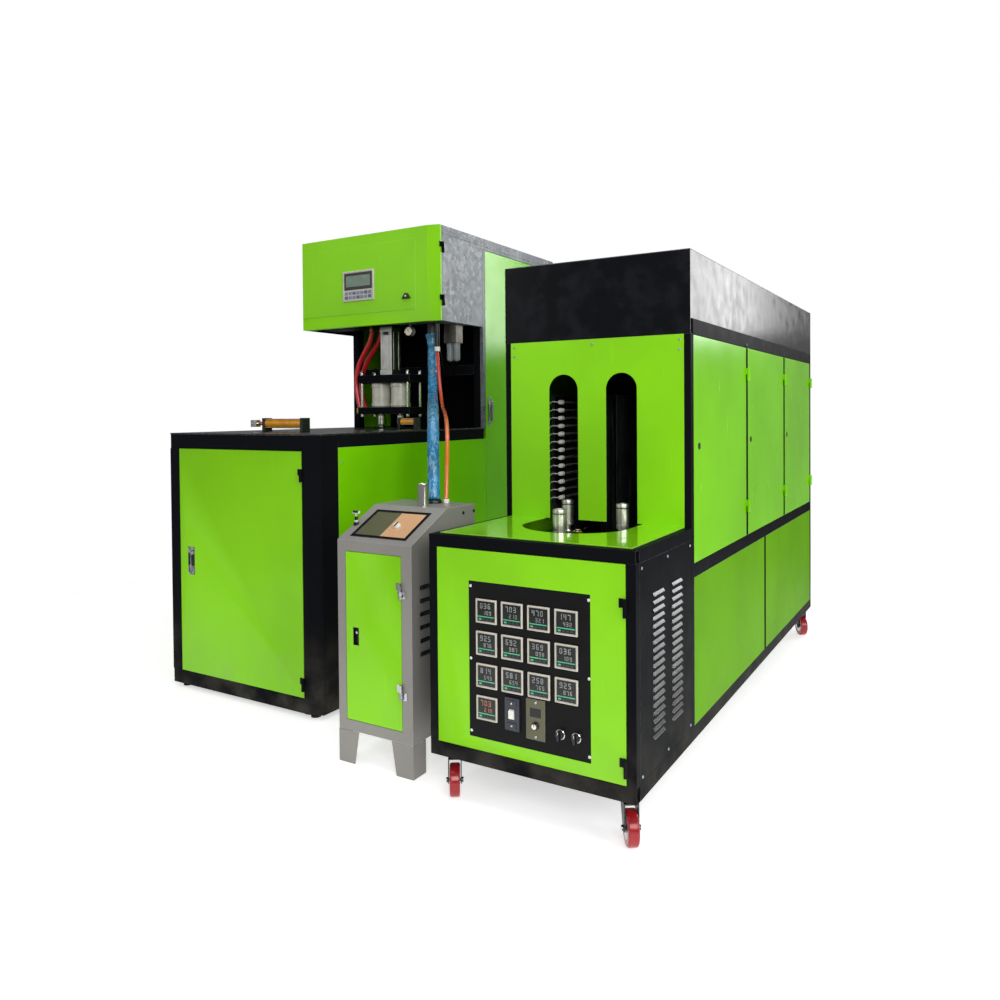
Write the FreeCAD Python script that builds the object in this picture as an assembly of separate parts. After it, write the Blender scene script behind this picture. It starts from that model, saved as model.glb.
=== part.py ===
import FreeCAD, Part
import math
import os

# Bottle blow moulding set, in millimetres. +X right, +Y to the back, +Z up. The origin is the middle of the
# footprint, on the floor. Three cabinets: the preform oven (right), the blow press (left) and a small air
# cabinet between them. Each cabinet is drawn in its own frame, whose corner is its front left foot print.

V = FreeCAD.Vector
X_AXIS = V(1, 0, 0)
Y_AXIS = V(0, 1, 0)
Z_AXIS = V(0, 0, 1)

# ---- driving dimensions ----
OVEN_W = 680            # oven width
OVEN_D = 2540           # oven depth
OVEN_TABLE_Z = 824      # top of the loading table
OVEN_TOP_Z = 1711       # top of the hood
PRESS_W = 866           # press width
PRESS_D = 2000          # press depth
PRESS_TABLE_Z = 1116    # top of the press table
PRESS_TOP_Z = 2083      # top of the column and head
AIR_W = 318             # air cabinet width
AIR_D = 383             # air cabinet depth
AIR_TOP_Z = 865         # top of the air cabinet
UNIT_GAP = 722          # clear width between press and oven
PRESS_SETBACK = 268     # press front behind the oven front
AIR_GAP = 110           # air cabinet to oven
AIR_SETBACK = 54        # air cabinet front behind the oven front

SET_W = PRESS_W + UNIT_GAP + OVEN_W
OVEN_AT = (SET_W / 2 - OVEN_W, -OVEN_D / 2)
PRESS_AT = (-SET_W / 2, PRESS_SETBACK - OVEN_D / 2)
AIR_AT = (OVEN_AT[0] - AIR_GAP - AIR_W, AIR_SETBACK - OVEN_D / 2)

# ---- stock ----
TUBE = 28               # square frame tube
TUBE_WALL = 2
SHEET = 1.5             # folded sheet
PANEL_DEPTH = 18        # folded edge of doors and panels
DOOR_GAP = 2            # gap round a door or panel
RUN = 0.05              # radial clearance of running fits
SEAT_GAP = 0.3          # clearance of moving faces

# ---- hinges ----
HINGE_R = 6             # knuckle radius
HINGE_OUT = 7           # axis in front of the door face
HINGE_H = 50            # both halves together
HINGE_PIN_R = 2.5
HINGE_LEAF = 20
HINGE_IN = 4            # axis of a seam hinge inside its own door, clear of the next one
SEAM = 5                # gap between neighbouring side doors
PANEL_SEAM = 1.5        # gap between neighbouring fixed panels

# ---- oven ----
CASTER_H = 135          # floor to frame
RAIL_H = 44             # bottom rail height
TABLE_SHEET = 3
TABLE_RAIL_H = 36
TOWER_Y = 480           # front of the tower
TOWER_EAVE_Z = 1441     # top of the green panels
EAVE_RAIL_H = 50
MID_RAIL_Z = 659        # between lower panels and side doors
SIDE_SEAMS = (1188, 1872.5)
LOWER_SEAM = 1485.5
RUN_PITCH = 214         # between the two straight runs of the chain
TURN_Y = 360            # axis of the front turn wheel
REAR_TURN_Y = 2300
OPENING_R = 180         # round end of the table opening
ARCH_W = 110
ARCH_TOP_Z = 1324
HOLDER_R = 21
HOLDER_TOP_Z = 888
HOLDER_BORE_R = 14
HOLDER_BORE_DEEP = 22
HOLDER_COUNT = 15
CHAIN_Z = 762           # middle of the chain
CHAIN_H = 20
CHAIN_T = 12
MOTOR_R = 62
LAMP_ROWS = 13
LAMP_PITCH = 29
LAMP_LOW_Z = 882
LAMP_R = 5
LAMP_ROW_OUT = 80       # lamps beside the run
BANKS = ((630, 1150), (1220, 1840), (1905, 2160))

# ---- control door ----
DOOR_Z = (RAIL_H + CASTER_H, OVEN_TABLE_Z - TABLE_SHEET - TABLE_RAIL_H)
PANEL_X = (145, 546)    # black instrument panel, left and right
PANEL_Z = (219, 690)
GAUGE = 72              # temperature controller bezel
GAUGE_PITCH_X = 88
GAUGE_PITCH_Z = 97
GAUGE_FIRST = (208, 603)
KNOB_R = 15

# ---- casters ----
WHEEL_R = 50
WHEEL_T = 32
AXLE_R = 5
TRAIL = 28
CASTER_INSET = (48, 62)
CASTER_TURN = math.degrees(math.atan2(-0.839, 0.545))

# ---- press ----
PRESS_FOOT_H = 20
PRESS_TUBE = 58
PRESS_RAIL_H = 60
SIDE_RAIL_H = 37
TABLE_PLATE = 6
COLUMN_POST = 40
COLUMN_Y = 1211         # front of the column, from the press front
BEVEL = (62, 24)        # bevelled right front corner, across and back
HEAD_Y = 819            # front of the head
HEAD_Z = 1631           # underside of the head
HEAD_COVER_D = 31       # depth of the hinged front cover
HEAD_BEVEL = (62, 19)
DISPLAY = (283, 483, 1757, 1908)
PRESS_MID = PRESS_W / 2
MOULD_Y = 1002          # middle of the moulds and of the seal head
CAVITY_PITCH = 125
WELL = (300, 190)       # opening in the press table
SEAL_PLATE = (336, 130)
SEAL_PLATE_Z = ((1350, 1390), (1190, 1225))
SEAL_ROD_PITCH = (296, 104)
SEAL_R = 51
BEAM_Z = 1640           # underside of the beam that holds the seal head
STRETCH_W = 76          # square barrel
NOZZLE_ROD_R = 12
NOZZLE_R = 19
NOZZLE_BORE_R = 9
NOZZLE_Z = (1122, 1186)
MOULD_GAP = 200         # between the open mould halves
MOULD = (330, 110, 330) # one half: across, deep, high
MOULD_TOP_Z = 1050
PLATEN = (500, 30, 390)
GUIDE_R = 20
GUIDE_PITCH = (420, 250)
PISTON_R = 18
CLAMP_R = 62

# ---- air cabinet ----
AIR_BODY_Z = 112        # underside of the body, above its legs
AIR_LIP_Z = 765         # front edge of the sloping panel
AIR_SLOPE_D = 202
AIR_DOOR = (36, 276, 150, 728)
STUB_R = 19.5
STUB_AT = (200, 226)
STUB_H = 80

# ---- hoses: middle lines, measured from the press's right front corner or from the seal head's middle ----
def placed(route, corner_x):
    """Route in the frame of the whole set, from (x, y, z) points beside a line of the press's front."""
    return [(PRESS_AT[0] + corner_x + x, PRESS_AT[1] + y, z) for x, y, z in route]


BLUE_R = 22
BLUE_ROUTE = placed(((-119, 933, 1575), (-98, 904, 1406), (-24, 801, 1288), (74, 665, 1244),
                     (174, 524, 1230), (275, 385, 1212), (372, 248, 1170), (449, 141, 1060),
                     (472, 109, 878)), PRESS_W)
RED_R = 8
RED_ROUTE = placed(((-53, 882, 1490), (-28, 857, 1375), (47, 768, 1262), (138, 649, 1215),
                    (234, 521, 1203), (330, 393, 1186), (423, 269, 1148), (494, 168, 1050),
                    (512, 130, 880)), PRESS_W)
SEAL_HOSE_R = 12
SEAL_HOSE_FRONT = placed(((-95, 972, 1622), (-109, 972, 1566), (-151, 972, 1508), (-193, 972, 1444),
                          (-207, 972, 1368), (-203, 972, 1294), (-183, 972, 1222)), PRESS_MID)
SEAL_HOSE_BACK = placed(((-69, 1016, 1622), (-87, 1016, 1566), (-137, 1016, 1508), (-185, 1016, 1446),
                         (-209, 1016, 1372), (-211, 1016, 1296), (-183, 1016, 1222)), PRESS_MID)


# ---- solids ----
def box(x0, x1, y0, y1, z0, z1):
    return Part.makeBox(x1 - x0, y1 - y0, z1 - z0, V(x0, y0, z0))


def rod(radius, length, x, y, z, axis=Z_AXIS):
    return Part.makeCylinder(radius, length, V(x, y, z), axis)


def pipe(outer, inner, length, x, y, z, axis=Z_AXIS):
    return rod(outer, length, x, y, z, axis).cut(rod(inner, length, x, y, z, axis))


def bar(x0, x1, y0, y1, z0, z1, wall=TUBE_WALL):
    """Hollow rectangular tube along its longest side."""
    sides = (x1 - x0, y1 - y0, z1 - z0)
    inset = [0 if side == max(sides) else wall for side in sides]
    bore = box(x0 + inset[0], x1 - inset[0], y0 + inset[1], y1 - inset[1], z0 + inset[2], z1 - inset[2])
    return box(x0, x1, y0, y1, z0, z1).cut(bore)


def tray(x0, x1, y0, y1, z0, z1, open_side, wall=SHEET):
    """Sheet folded on four edges, open on one side (x, y or z, a capital letter for the high side)."""
    low = [x0 + wall, y0 + wall, z0 + wall]
    high = [x1 - wall, y1 - wall, z1 - wall]
    letter = "xyz".index(open_side.lower())
    if open_side.isupper():
        high[letter] += wall
    else:
        low[letter] -= wall
    inner = box(low[0], high[0], low[1], high[1], low[2], high[2])
    return box(x0, x1, y0, y1, z0, z1).cut(inner)


def cut(solid, tools):
    return solid.cut(Part.makeCompound(tools))


def join(*solids):
    return solids[0].fuse(solids[1:]).removeSplitter()


def prism(points, z0, z1):
    """Upright prism over a closed outline of (x, y) corners."""
    wire = Part.makePolygon([V(x, y, z0) for x, y in points] + [V(points[0][0], points[0][1], z0)])
    return Part.Face(wire).extrude(V(0, 0, z1 - z0))


def profile_x(points, x0, x1):
    """Prism along X over a closed outline of (y, z) corners."""
    wire = Part.makePolygon([V(x0, y, z) for y, z in points] + [V(x0, points[0][0], points[0][1])])
    return Part.Face(wire).extrude(V(x1 - x0, 0, 0))


def turned(profile, x, y):
    """Solid of revolution about the upright line at (x, y) over (radius, z) corners."""
    corners = [V(x + r, y, z) for r, z in profile]
    wire = Part.makePolygon(corners + [corners[0]])
    return Part.Face(wire).revolve(V(x, y, 0), Z_AXIS, 360)


def save(name, solids, at=(0, 0)):
    """Write one node: its solids, moved from their cabinet's frame to the frame of the set."""
    os.makedirs("parts", exist_ok=True)
    flat = []
    for solid in solids:
        flat += solid.Solids
    for solid in flat:
        solid.translate(V(at[0], at[1], 0))
    shape = flat[0] if len(flat) == 1 else Part.makeCompound(flat)
    assert shape.isValid(), name
    shape.exportStep(os.path.join("parts", name + ".step"))


def hinge(x, y, z, turn, web, web_edge):
    """Lift-off hinge with an upright pin: returns the fixed lower half and the moving upper half.

    (x, y) is the seam at the door's outer face and z the hinge's foot. As drawn the face looks to -Y and the door
    lies to -X; turn rotates it about +Z. With web, the fixed half is a strip that reaches that far in through the
    seam, and web_edge is how far the strip goes past the seam's middle.
    """
    half = HINGE_H / 2
    pin_x = -HINGE_IN if web else 0
    seat = rod(HINGE_R, half, pin_x, -HINGE_OUT, 0)
    if web:
        seat = join(seat, box(-0.5, web_edge, -HINGE_OUT, web, 0, half))
    else:
        seat = join(seat, box(0, HINGE_LEAF, -2, 0, 0, half), box(-1, 1, -HINGE_OUT, -1, 0, half))
    seat = join(seat, rod(HINGE_PIN_R, half - 4, pin_x, -HINGE_OUT, half))
    upper = half + SEAT_GAP
    leaf = join(rod(HINGE_R, half - SEAT_GAP, pin_x, -HINGE_OUT, upper),
                box(-HINGE_LEAF, -DOOR_GAP, -2, 0, upper, HINGE_H),
                box(-HINGE_LEAF / 2, -1, -HINGE_OUT + 4.5, -1, upper, HINGE_H))
    leaf = leaf.cut(rod(HINGE_PIN_R + RUN, half, pin_x, -HINGE_OUT, half - 1))
    for part in (seat, leaf):
        part.rotate(V(0, 0, 0), Z_AXIS, turn)
        part.translate(V(x, y, z))
    return seat, leaf


def hose(route, radius):
    """Round hose along a route: straight runs joined by the largest tangent arcs the runs allow."""
    points = [V(*p) for p in route]
    edges = []
    last = points[0]
    radii = []
    for before, corner, after in zip(points, points[1:], points[2:]):
        run_in = (before - corner).Length
        run_out = (after - corner).Length
        back = (before - corner).normalize()
        on = (after - corner).normalize()
        half_turn = (math.pi - back.getAngle(on)) / 2
        reach = 0.45 * min(run_in, run_out)
        radii.append(reach / math.tan(half_turn))
        start = corner + back * reach
        end = corner + on * reach
        inward = (back + on).normalize()
        depth = radii[-1] / math.cos(half_turn) - radii[-1]
        edges.append(Part.LineSegment(last, start).toShape())
        edges.append(Part.Arc(start, corner + inward * depth, end).toShape())
        last = end
    edges.append(Part.LineSegment(last, points[-1]).toShape())
    path = Part.Wire(edges)
    section = Part.Wire([Part.Circle(points[0], points[1] - points[0], radius).toShape()])
    solid = path.makePipeShell([section], True, False)
    share = solid.Volume / (math.pi * radius ** 2 * path.Length)
    print("hose length %.0f, radii %s, volume ratio %.4f" % (path.Length, [round(r) for r in radii], share))
    return solid


hinge_seats = []        # fixed hinge halves of all cabinets, in the frame of the set


def door_hinges(x, y, heights, at, turn=0, web=0, web_edge=1):
    """Hang a door: keeps the fixed halves and returns the moving halves, at each height."""
    leaves = []
    for z in heights:
        seat, leaf = hinge(x, y, z, turn, web, web_edge)
        seat.translate(V(at[0], at[1], 0))
        hinge_seats.append(seat)
        leaves.append(leaf)
    return leaves


def latch(x, y, z, axis, reach):
    """Round flush latch: a disc on the door's face with a barrel through the sheet."""
    disc = rod(11, 2, x, y, z, axis)
    barrel = rod(8, reach, x, y, z, V(-axis.x, -axis.y, -axis.z))
    return join(disc, barrel)


# ---- oven ----
def oven_frame():
    bottom = CASTER_H
    rail_top = CASTER_H + RAIL_H
    back = OVEN_D - TUBE
    right = OVEN_W - TUBE
    table = OVEN_TABLE_Z - TABLE_SHEET
    eave = TOWER_EAVE_Z
    mid = (MID_RAIL_Z, MID_RAIL_Z + RAIL_H)
    bars = []
    for y in (0, back):
        bars.append(bar(0, OVEN_W, y, y + TUBE, bottom, rail_top))
    for y in (TOWER_Y, LOWER_SEAM - TUBE / 2):
        bars.append(bar(TUBE, right, y, y + TUBE, bottom, rail_top))
    for x in (0, right):
        post_x = x - PANEL_DEPTH - DOOR_GAP if x else x + PANEL_DEPTH + DOOR_GAP
        bars.append(bar(x, x + TUBE, TUBE, back, bottom, rail_top))
        bars.append(bar(x, x + TUBE, 0, TUBE, rail_top, table - TABLE_RAIL_H))
        bars.append(bar(x, x + TUBE, TUBE, TOWER_Y, table - TABLE_RAIL_H, table))
        bars.append(bar(x, x + TUBE, TOWER_Y, TOWER_Y + TUBE, rail_top, eave))
        bars.append(bar(x, x + TUBE, back, OVEN_D, rail_top, eave))
        bars.append(bar(x, x + TUBE, TOWER_Y + TUBE, back, mid[0], mid[1]))
        bars.append(bar(x, x + TUBE, TOWER_Y + TUBE, back, eave, eave + EAVE_RAIL_H))
        for y in SIDE_SEAMS:
            bars.append(bar(post_x, post_x + TUBE, y - TUBE / 2, y + TUBE / 2, mid[1], eave))
        bars.append(bar(post_x, post_x + TUBE, LOWER_SEAM - TUBE / 2, LOWER_SEAM + TUBE / 2,
                        rail_top, mid[0]))
    bars.append(bar(0, OVEN_W, 0, TUBE, table - TABLE_RAIL_H, table))
    bars.append(bar(0, OVEN_W, TOWER_Y, TOWER_Y + TUBE, eave, eave + EAVE_RAIL_H))
    bars.append(bar(0, OVEN_W, back, OVEN_D, eave, eave + EAVE_RAIL_H))
    for y in (TOWER_Y, LOWER_SEAM - TUBE / 2, back):
        bars.append(bar(TUBE, right, y, y + TUBE, mid[0], mid[1]))
    plates = []
    for x, y in caster_places():
        plate = box(x - 45, x + 45, y - 38, y + 38, bottom - 4, bottom)
        boss = rod(17, 10, x, y, bottom - 14).cut(rod(6 + RUN, 10, x, y, bottom - 14))
        plates.append(join(plate, boss))
    save("oven_frame", bars + plates, OVEN_AT)


def caster_places():
    dx, dy = CASTER_INSET
    return [(dx, dy), (OVEN_W - dx, dy), (dx, OVEN_D - dy), (OVEN_W - dx, OVEN_D - dy)]


def casters():
    """Swivel forks and wheels. The fork's crown turns under the plate's boss, and the wheel trails the swivel."""
    names = ("front_left", "front_right", "rear_left", "rear_right")
    axle_z = WHEEL_R
    crown_top = CASTER_H - 14 - SEAT_GAP
    inside = WHEEL_T / 2 + 2
    for name, (x, y) in zip(names, caster_places()):
        crown = box(-24, TRAIL + 12, -inside - 3, inside + 3, crown_top - 4, crown_top)
        stem = rod(6, 12, 0, 0, crown_top - 2)
        legs = []
        for side in (-1, 1):
            y0 = min(side * inside, side * (inside + 3))
            outline = [(-22, crown_top), (TRAIL + 12, crown_top), (TRAIL + 13, axle_z - 4), (TRAIL, axle_z - 14),
                       (TRAIL - 13, axle_z - 4)]
            wire = Part.makePolygon([V(px, y0, pz) for px, pz in outline + outline[:1]])
            legs.append(Part.Face(wire).extrude(V(0, 3, 0)))
        axle = rod(AXLE_R, 2 * inside + 6, TRAIL, -inside - 3, axle_z, Y_AXIS)
        nuts = [rod(8, 5, TRAIL, -inside - 8, axle_z, Y_AXIS), rod(8, 5, TRAIL, inside + 3, axle_z, Y_AXIS)]
        fork = join(crown, stem, *legs, axle, *nuts)
        hub = rod(30, WHEEL_T, TRAIL, -WHEEL_T / 2, axle_z, Y_AXIS)
        hub = hub.cut(rod(AXLE_R + RUN, WHEEL_T, TRAIL, -WHEEL_T / 2, axle_z, Y_AXIS))
        tyre = pipe(WHEEL_R, 30, WHEEL_T, TRAIL, -WHEEL_T / 2, axle_z, Y_AXIS)
        tyre = tyre.makeFillet(6, [e for e in tyre.Edges if abs(e.Length - 2 * math.pi * WHEEL_R) < 0.01])
        for solid in (fork, hub, tyre):
            solid.rotate(V(0, 0, 0), Z_AXIS, CASTER_TURN)
            solid.translate(V(x, y, 0))
        save("caster_fork_" + name, [fork], OVEN_AT)
        save("caster_wheel_" + name, [hub, tyre], OVEN_AT)


def oven_sheets():
    rail_top = CASTER_H + RAIL_H
    outer = (OVEN_W - PANEL_DEPTH, OVEN_W)
    green = []
    for x0, side in ((outer[0], "x"), (0, "X")):
        x1 = x0 + PANEL_DEPTH
        for y0, y1 in ((TOWER_Y + TUBE, LOWER_SEAM), (LOWER_SEAM, OVEN_D - TUBE)):
            green.append(tray(x0, x1, y0, y1 - PANEL_SEAM * (y1 == LOWER_SEAM), rail_top, MID_RAIL_Z, side))
    edges = (TOWER_Y + TUBE,) + SIDE_SEAMS + (OVEN_D - TUBE,)
    low = MID_RAIL_Z + RAIL_H
    for y0, y1 in zip(edges, edges[1:]):
        green.append(tray(0, PANEL_DEPTH, y0, y1 - PANEL_SEAM * (y1 in SIDE_SEAMS), low, TOWER_EAVE_Z, "X"))
    for z0, z1 in ((rail_top, MID_RAIL_Z), (low, TOWER_EAVE_Z)):
        green.append(tray(TUBE, OVEN_W - TUBE, OVEN_D - PANEL_DEPTH, OVEN_D, z0, z1, "y"))
    save("oven_panels", green, OVEN_AT)

    # black sheets: louvred sides beside the table, and the floor pan
    black = []
    table = OVEN_TABLE_Z - TABLE_SHEET - TABLE_RAIL_H
    slots = []
    for column in (130, 292):
        for row in range(19):
            z = 268 + row * 22.5
            slots.append((column, z))
    for x0, side in ((OVEN_W - PANEL_DEPTH, "x"), (0, "X")):
        sheet = tray(x0, x0 + PANEL_DEPTH, TUBE + 0.5, TOWER_Y - 0.5, rail_top + 0.5, table - 0.5, side)
        cuts = [box(x0 - 1, x0 + PANEL_DEPTH + 1, y, y + 84, z, z + 9) for y, z in slots]
        black.append(cut(sheet, cuts))
    black.append(tray(TUBE, OVEN_W - TUBE, TUBE, TOWER_Y, CASTER_H + 2, CASTER_H + 20, "Z"))
    save("oven_black_panels", black, OVEN_AT)


def table_plate():
    """Loading table with its opening: round in front, straight back to the tower."""
    z0 = OVEN_TABLE_Z - TABLE_SHEET
    middle = OVEN_W / 2 - 3
    plate = box(22, OVEN_W - 22, 30, TOWER_Y, z0, OVEN_TABLE_Z)
    hole = join(rod(OPENING_R, 9, middle, TURN_Y, z0 - 3),
                box(middle - OPENING_R, middle + OPENING_R, TURN_Y, TOWER_Y + 1, z0 - 3, z0 + 6))
    save("oven_table_plate", [plate.cut(hole)], OVEN_AT)


def arch_panel():
    """Front panel of the tower, with an arch over each run of the chain."""
    middle = OVEN_W / 2 - 3
    low = OVEN_TABLE_Z
    side = TUBE - 6
    sheet = box(side, OVEN_W - side, TOWER_Y - SHEET, TOWER_Y, low, TOWER_EAVE_Z)
    cuts = []
    spring = ARCH_TOP_Z - ARCH_W / 2
    for x in (middle - RUN_PITCH / 2, middle + RUN_PITCH / 2):
        cuts.append(box(x - ARCH_W / 2, x + ARCH_W / 2, TOWER_Y - 5, TOWER_Y + 5, low - 5, spring))
        cuts.append(rod(ARCH_W / 2, 10, x, TOWER_Y - 5, spring, Y_AXIS))
    save("oven_arch_panel", [cut(sheet, cuts)], OVEN_AT)


def oven_hood():
    """Black top cover: front face down to the green panel, sides down to the eave rail."""
    seam = TOWER_EAVE_Z + EAVE_RAIL_H
    shell = tray(0, OVEN_W, TOWER_Y - SHEET, OVEN_D, seam, OVEN_TOP_Z, "z")
    front = box(0, OVEN_W, TOWER_Y - SHEET, TOWER_Y, TOWER_EAVE_Z, seam + 2)
    save("oven_hood", [join(shell, front)], OVEN_AT)


def loop(inner_grow, outer_grow, z0, z1):
    """Race-track ring about the chain's middle line."""
    middle = OVEN_W / 2 - 3
    radius = RUN_PITCH / 2

    def track(grow):
        r = radius + grow
        ends = [rod(r, z1 - z0, middle, y, z0) for y in (TURN_Y, REAR_TURN_Y)]
        return join(box(middle - r, middle + r, TURN_Y, REAR_TURN_Y, z0, z1), *ends)

    return track(outer_grow).cut(track(inner_grow))


def holder_places():
    """Even places along the chain, counted from the front of the front wheel."""
    middle = OVEN_W / 2 - 3
    radius = RUN_PITCH / 2
    straight = REAR_TURN_Y - TURN_Y
    total = 2 * straight + 2 * math.pi * radius
    quarter = math.pi * radius / 2
    places = []
    for i in range(HOLDER_COUNT):
        s = (i * total / HOLDER_COUNT - 12) % total
        if s < quarter or s > total - quarter:
            angle = s / radius if s < quarter else (s - total) / radius
            places.append((middle + radius * math.sin(angle), TURN_Y - radius * math.cos(angle)))
        elif s < quarter + straight:
            places.append((middle + radius, TURN_Y + s - quarter))
        elif s < 3 * quarter + straight:
            angle = (s - straight - quarter) / radius
            places.append((middle + radius * math.cos(angle), REAR_TURN_Y + radius * math.sin(angle)))
        else:
            places.append((middle - radius, REAR_TURN_Y - (s - straight - 3 * quarter)))
    return places


def conveyor():
    middle = OVEN_W / 2 - 3
    radius = RUN_PITCH / 2
    half = CHAIN_T / 2
    z0 = CHAIN_Z - CHAIN_H / 2
    z1 = CHAIN_Z + CHAIN_H / 2
    save("conveyor_chain", [loop(-half, half, z0, z1)], OVEN_AT)

    holders = []
    base = z1
    for x, y in holder_places():
        body = turned([(0, base), (9, base), (9, base + 22), (HOLDER_R, base + 30),
                       (HOLDER_R, HOLDER_TOP_Z - 2),
                       (HOLDER_R - 2, HOLDER_TOP_Z), (HOLDER_BORE_R, HOLDER_TOP_Z),
                       (HOLDER_BORE_R, HOLDER_TOP_Z - HOLDER_BORE_DEEP), (0, HOLDER_TOP_Z - HOLDER_BORE_DEEP)], x, y)
        holders.append(body)
    save("preform_holders", holders, OVEN_AT)

    # grooved turn wheels on their bearing sleeves, and the fixed posts they turn on
    rim = radius - half - SEAT_GAP
    for name, y in (("front", TURN_Y), ("rear", REAR_TURN_Y)):
        profile = [(12 + RUN, z0 - 6), (34, z0 - 6), (34, z0), (rim, z0), (rim, z1 - 1), (34, z1 - 1),
                   (34, z1 + 10), (22, z1 + 16), (12 + RUN, z1 + 16)]
        save(name + "_turn_wheel", [turned(profile, middle, y)], OVEN_AT)
    deck_z = z0 - 30
    fixed = []
    for y in (TURN_Y, REAR_TURN_Y):
        post = join(rod(12, z1 + 26 - deck_z, middle, y, deck_z),
                    rod(26, z0 - 6 - SEAT_GAP - deck_z, middle, y, deck_z))
        post = join(post, rod(17, 10, middle, y, z1 + 16 + SEAT_GAP))
        fixed.append(post)
    clear = TUBE + PANEL_DEPTH + DOOR_GAP + 1
    lip_y = PANEL_DEPTH + 1
    deck = box(clear, OVEN_W - clear, lip_y, OVEN_D - TUBE, deck_z - 6, deck_z)
    legs = [box(TUBE, OVEN_W - TUBE, y, y + TUBE, MID_RAIL_Z + RAIL_H, deck_z - 6)
            for y in (TOWER_Y, LOWER_SEAM - TUBE / 2)]
    guides = []
    for side in (-1, 1):
        x = middle + side * radius
        for out in (-1, 1):
            x0 = x + out * (half + SEAT_GAP + 2) - 2
            guides.append(box(x0, x0 + 4, TURN_Y + 60, REAR_TURN_Y - 60, deck_z, z1 - 4))
    front_leg = box(TUBE, OVEN_W - TUBE, lip_y, TUBE, deck_z - 36, deck_z - 6)
    save("conveyor_track", fixed + [deck] + legs + guides + [front_leg], OVEN_AT)

    # geared motor under the rear wheel, hung from the deck
    box_z = deck_z - 6
    gearbox = box(middle - 60, middle + 60, REAR_TURN_Y - 60, REAR_TURN_Y + 60, box_z - 130, box_z)
    motor = join(rod(MOTOR_R, 170, middle, REAR_TURN_Y - 60, box_z - 70, V(0, -1, 0)),
                 rod(MOTOR_R - 14, 26, middle, REAR_TURN_Y - 230, box_z - 70, V(0, -1, 0)))
    save("drive_motor", [gearbox, motor], OVEN_AT)


def lamps():
    middle = OVEN_W / 2 - 3
    radius = RUN_PITCH / 2
    racks = []
    tubes = []
    low = LAMP_LOW_Z - 24
    high = LAMP_LOW_Z + (LAMP_ROWS - 1) * LAMP_PITCH + 24
    deck_z = CHAIN_Z - CHAIN_H / 2 - 30
    for side in (-1, 1):
        lamp_x = middle + side * (radius + LAMP_ROW_OUT)
        back_x = lamp_x + side * 34
        core_x = middle + side * 30
        for y0, y1 in BANKS:
            for x in (back_x, core_x):
                racks.append(box(x - 1, x + 1, y0 - 10, y1 + 10, deck_z, high))
            for y in (y0 + 4, y1 - 10):
                x0 = min(back_x - side, lamp_x - side * 8)
                x1 = max(back_x - side, lamp_x - side * 8)
                bracket = box(x0, x1, y, y + 6, low, high)
                holes = [rod(LAMP_R + 0.5, 8, lamp_x, y - 1, LAMP_LOW_Z + i * LAMP_PITCH, Y_AXIS)
                         for i in range(LAMP_ROWS)]
                racks.append(cut(bracket, holes))
            for i in range(LAMP_ROWS):
                z = LAMP_LOW_Z + i * LAMP_PITCH
                glass = rod(LAMP_R, y1 - y0, lamp_x, y0, z, Y_AXIS)
                ends = [rod(8, 26, lamp_x, y0 - 26, z, Y_AXIS), rod(8, 26, lamp_x, y1, z, Y_AXIS)]
                tubes += [glass] + ends
    save("lamp_reflectors", racks, OVEN_AT)
    save("heating_lamps", tubes, OVEN_AT)


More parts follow.
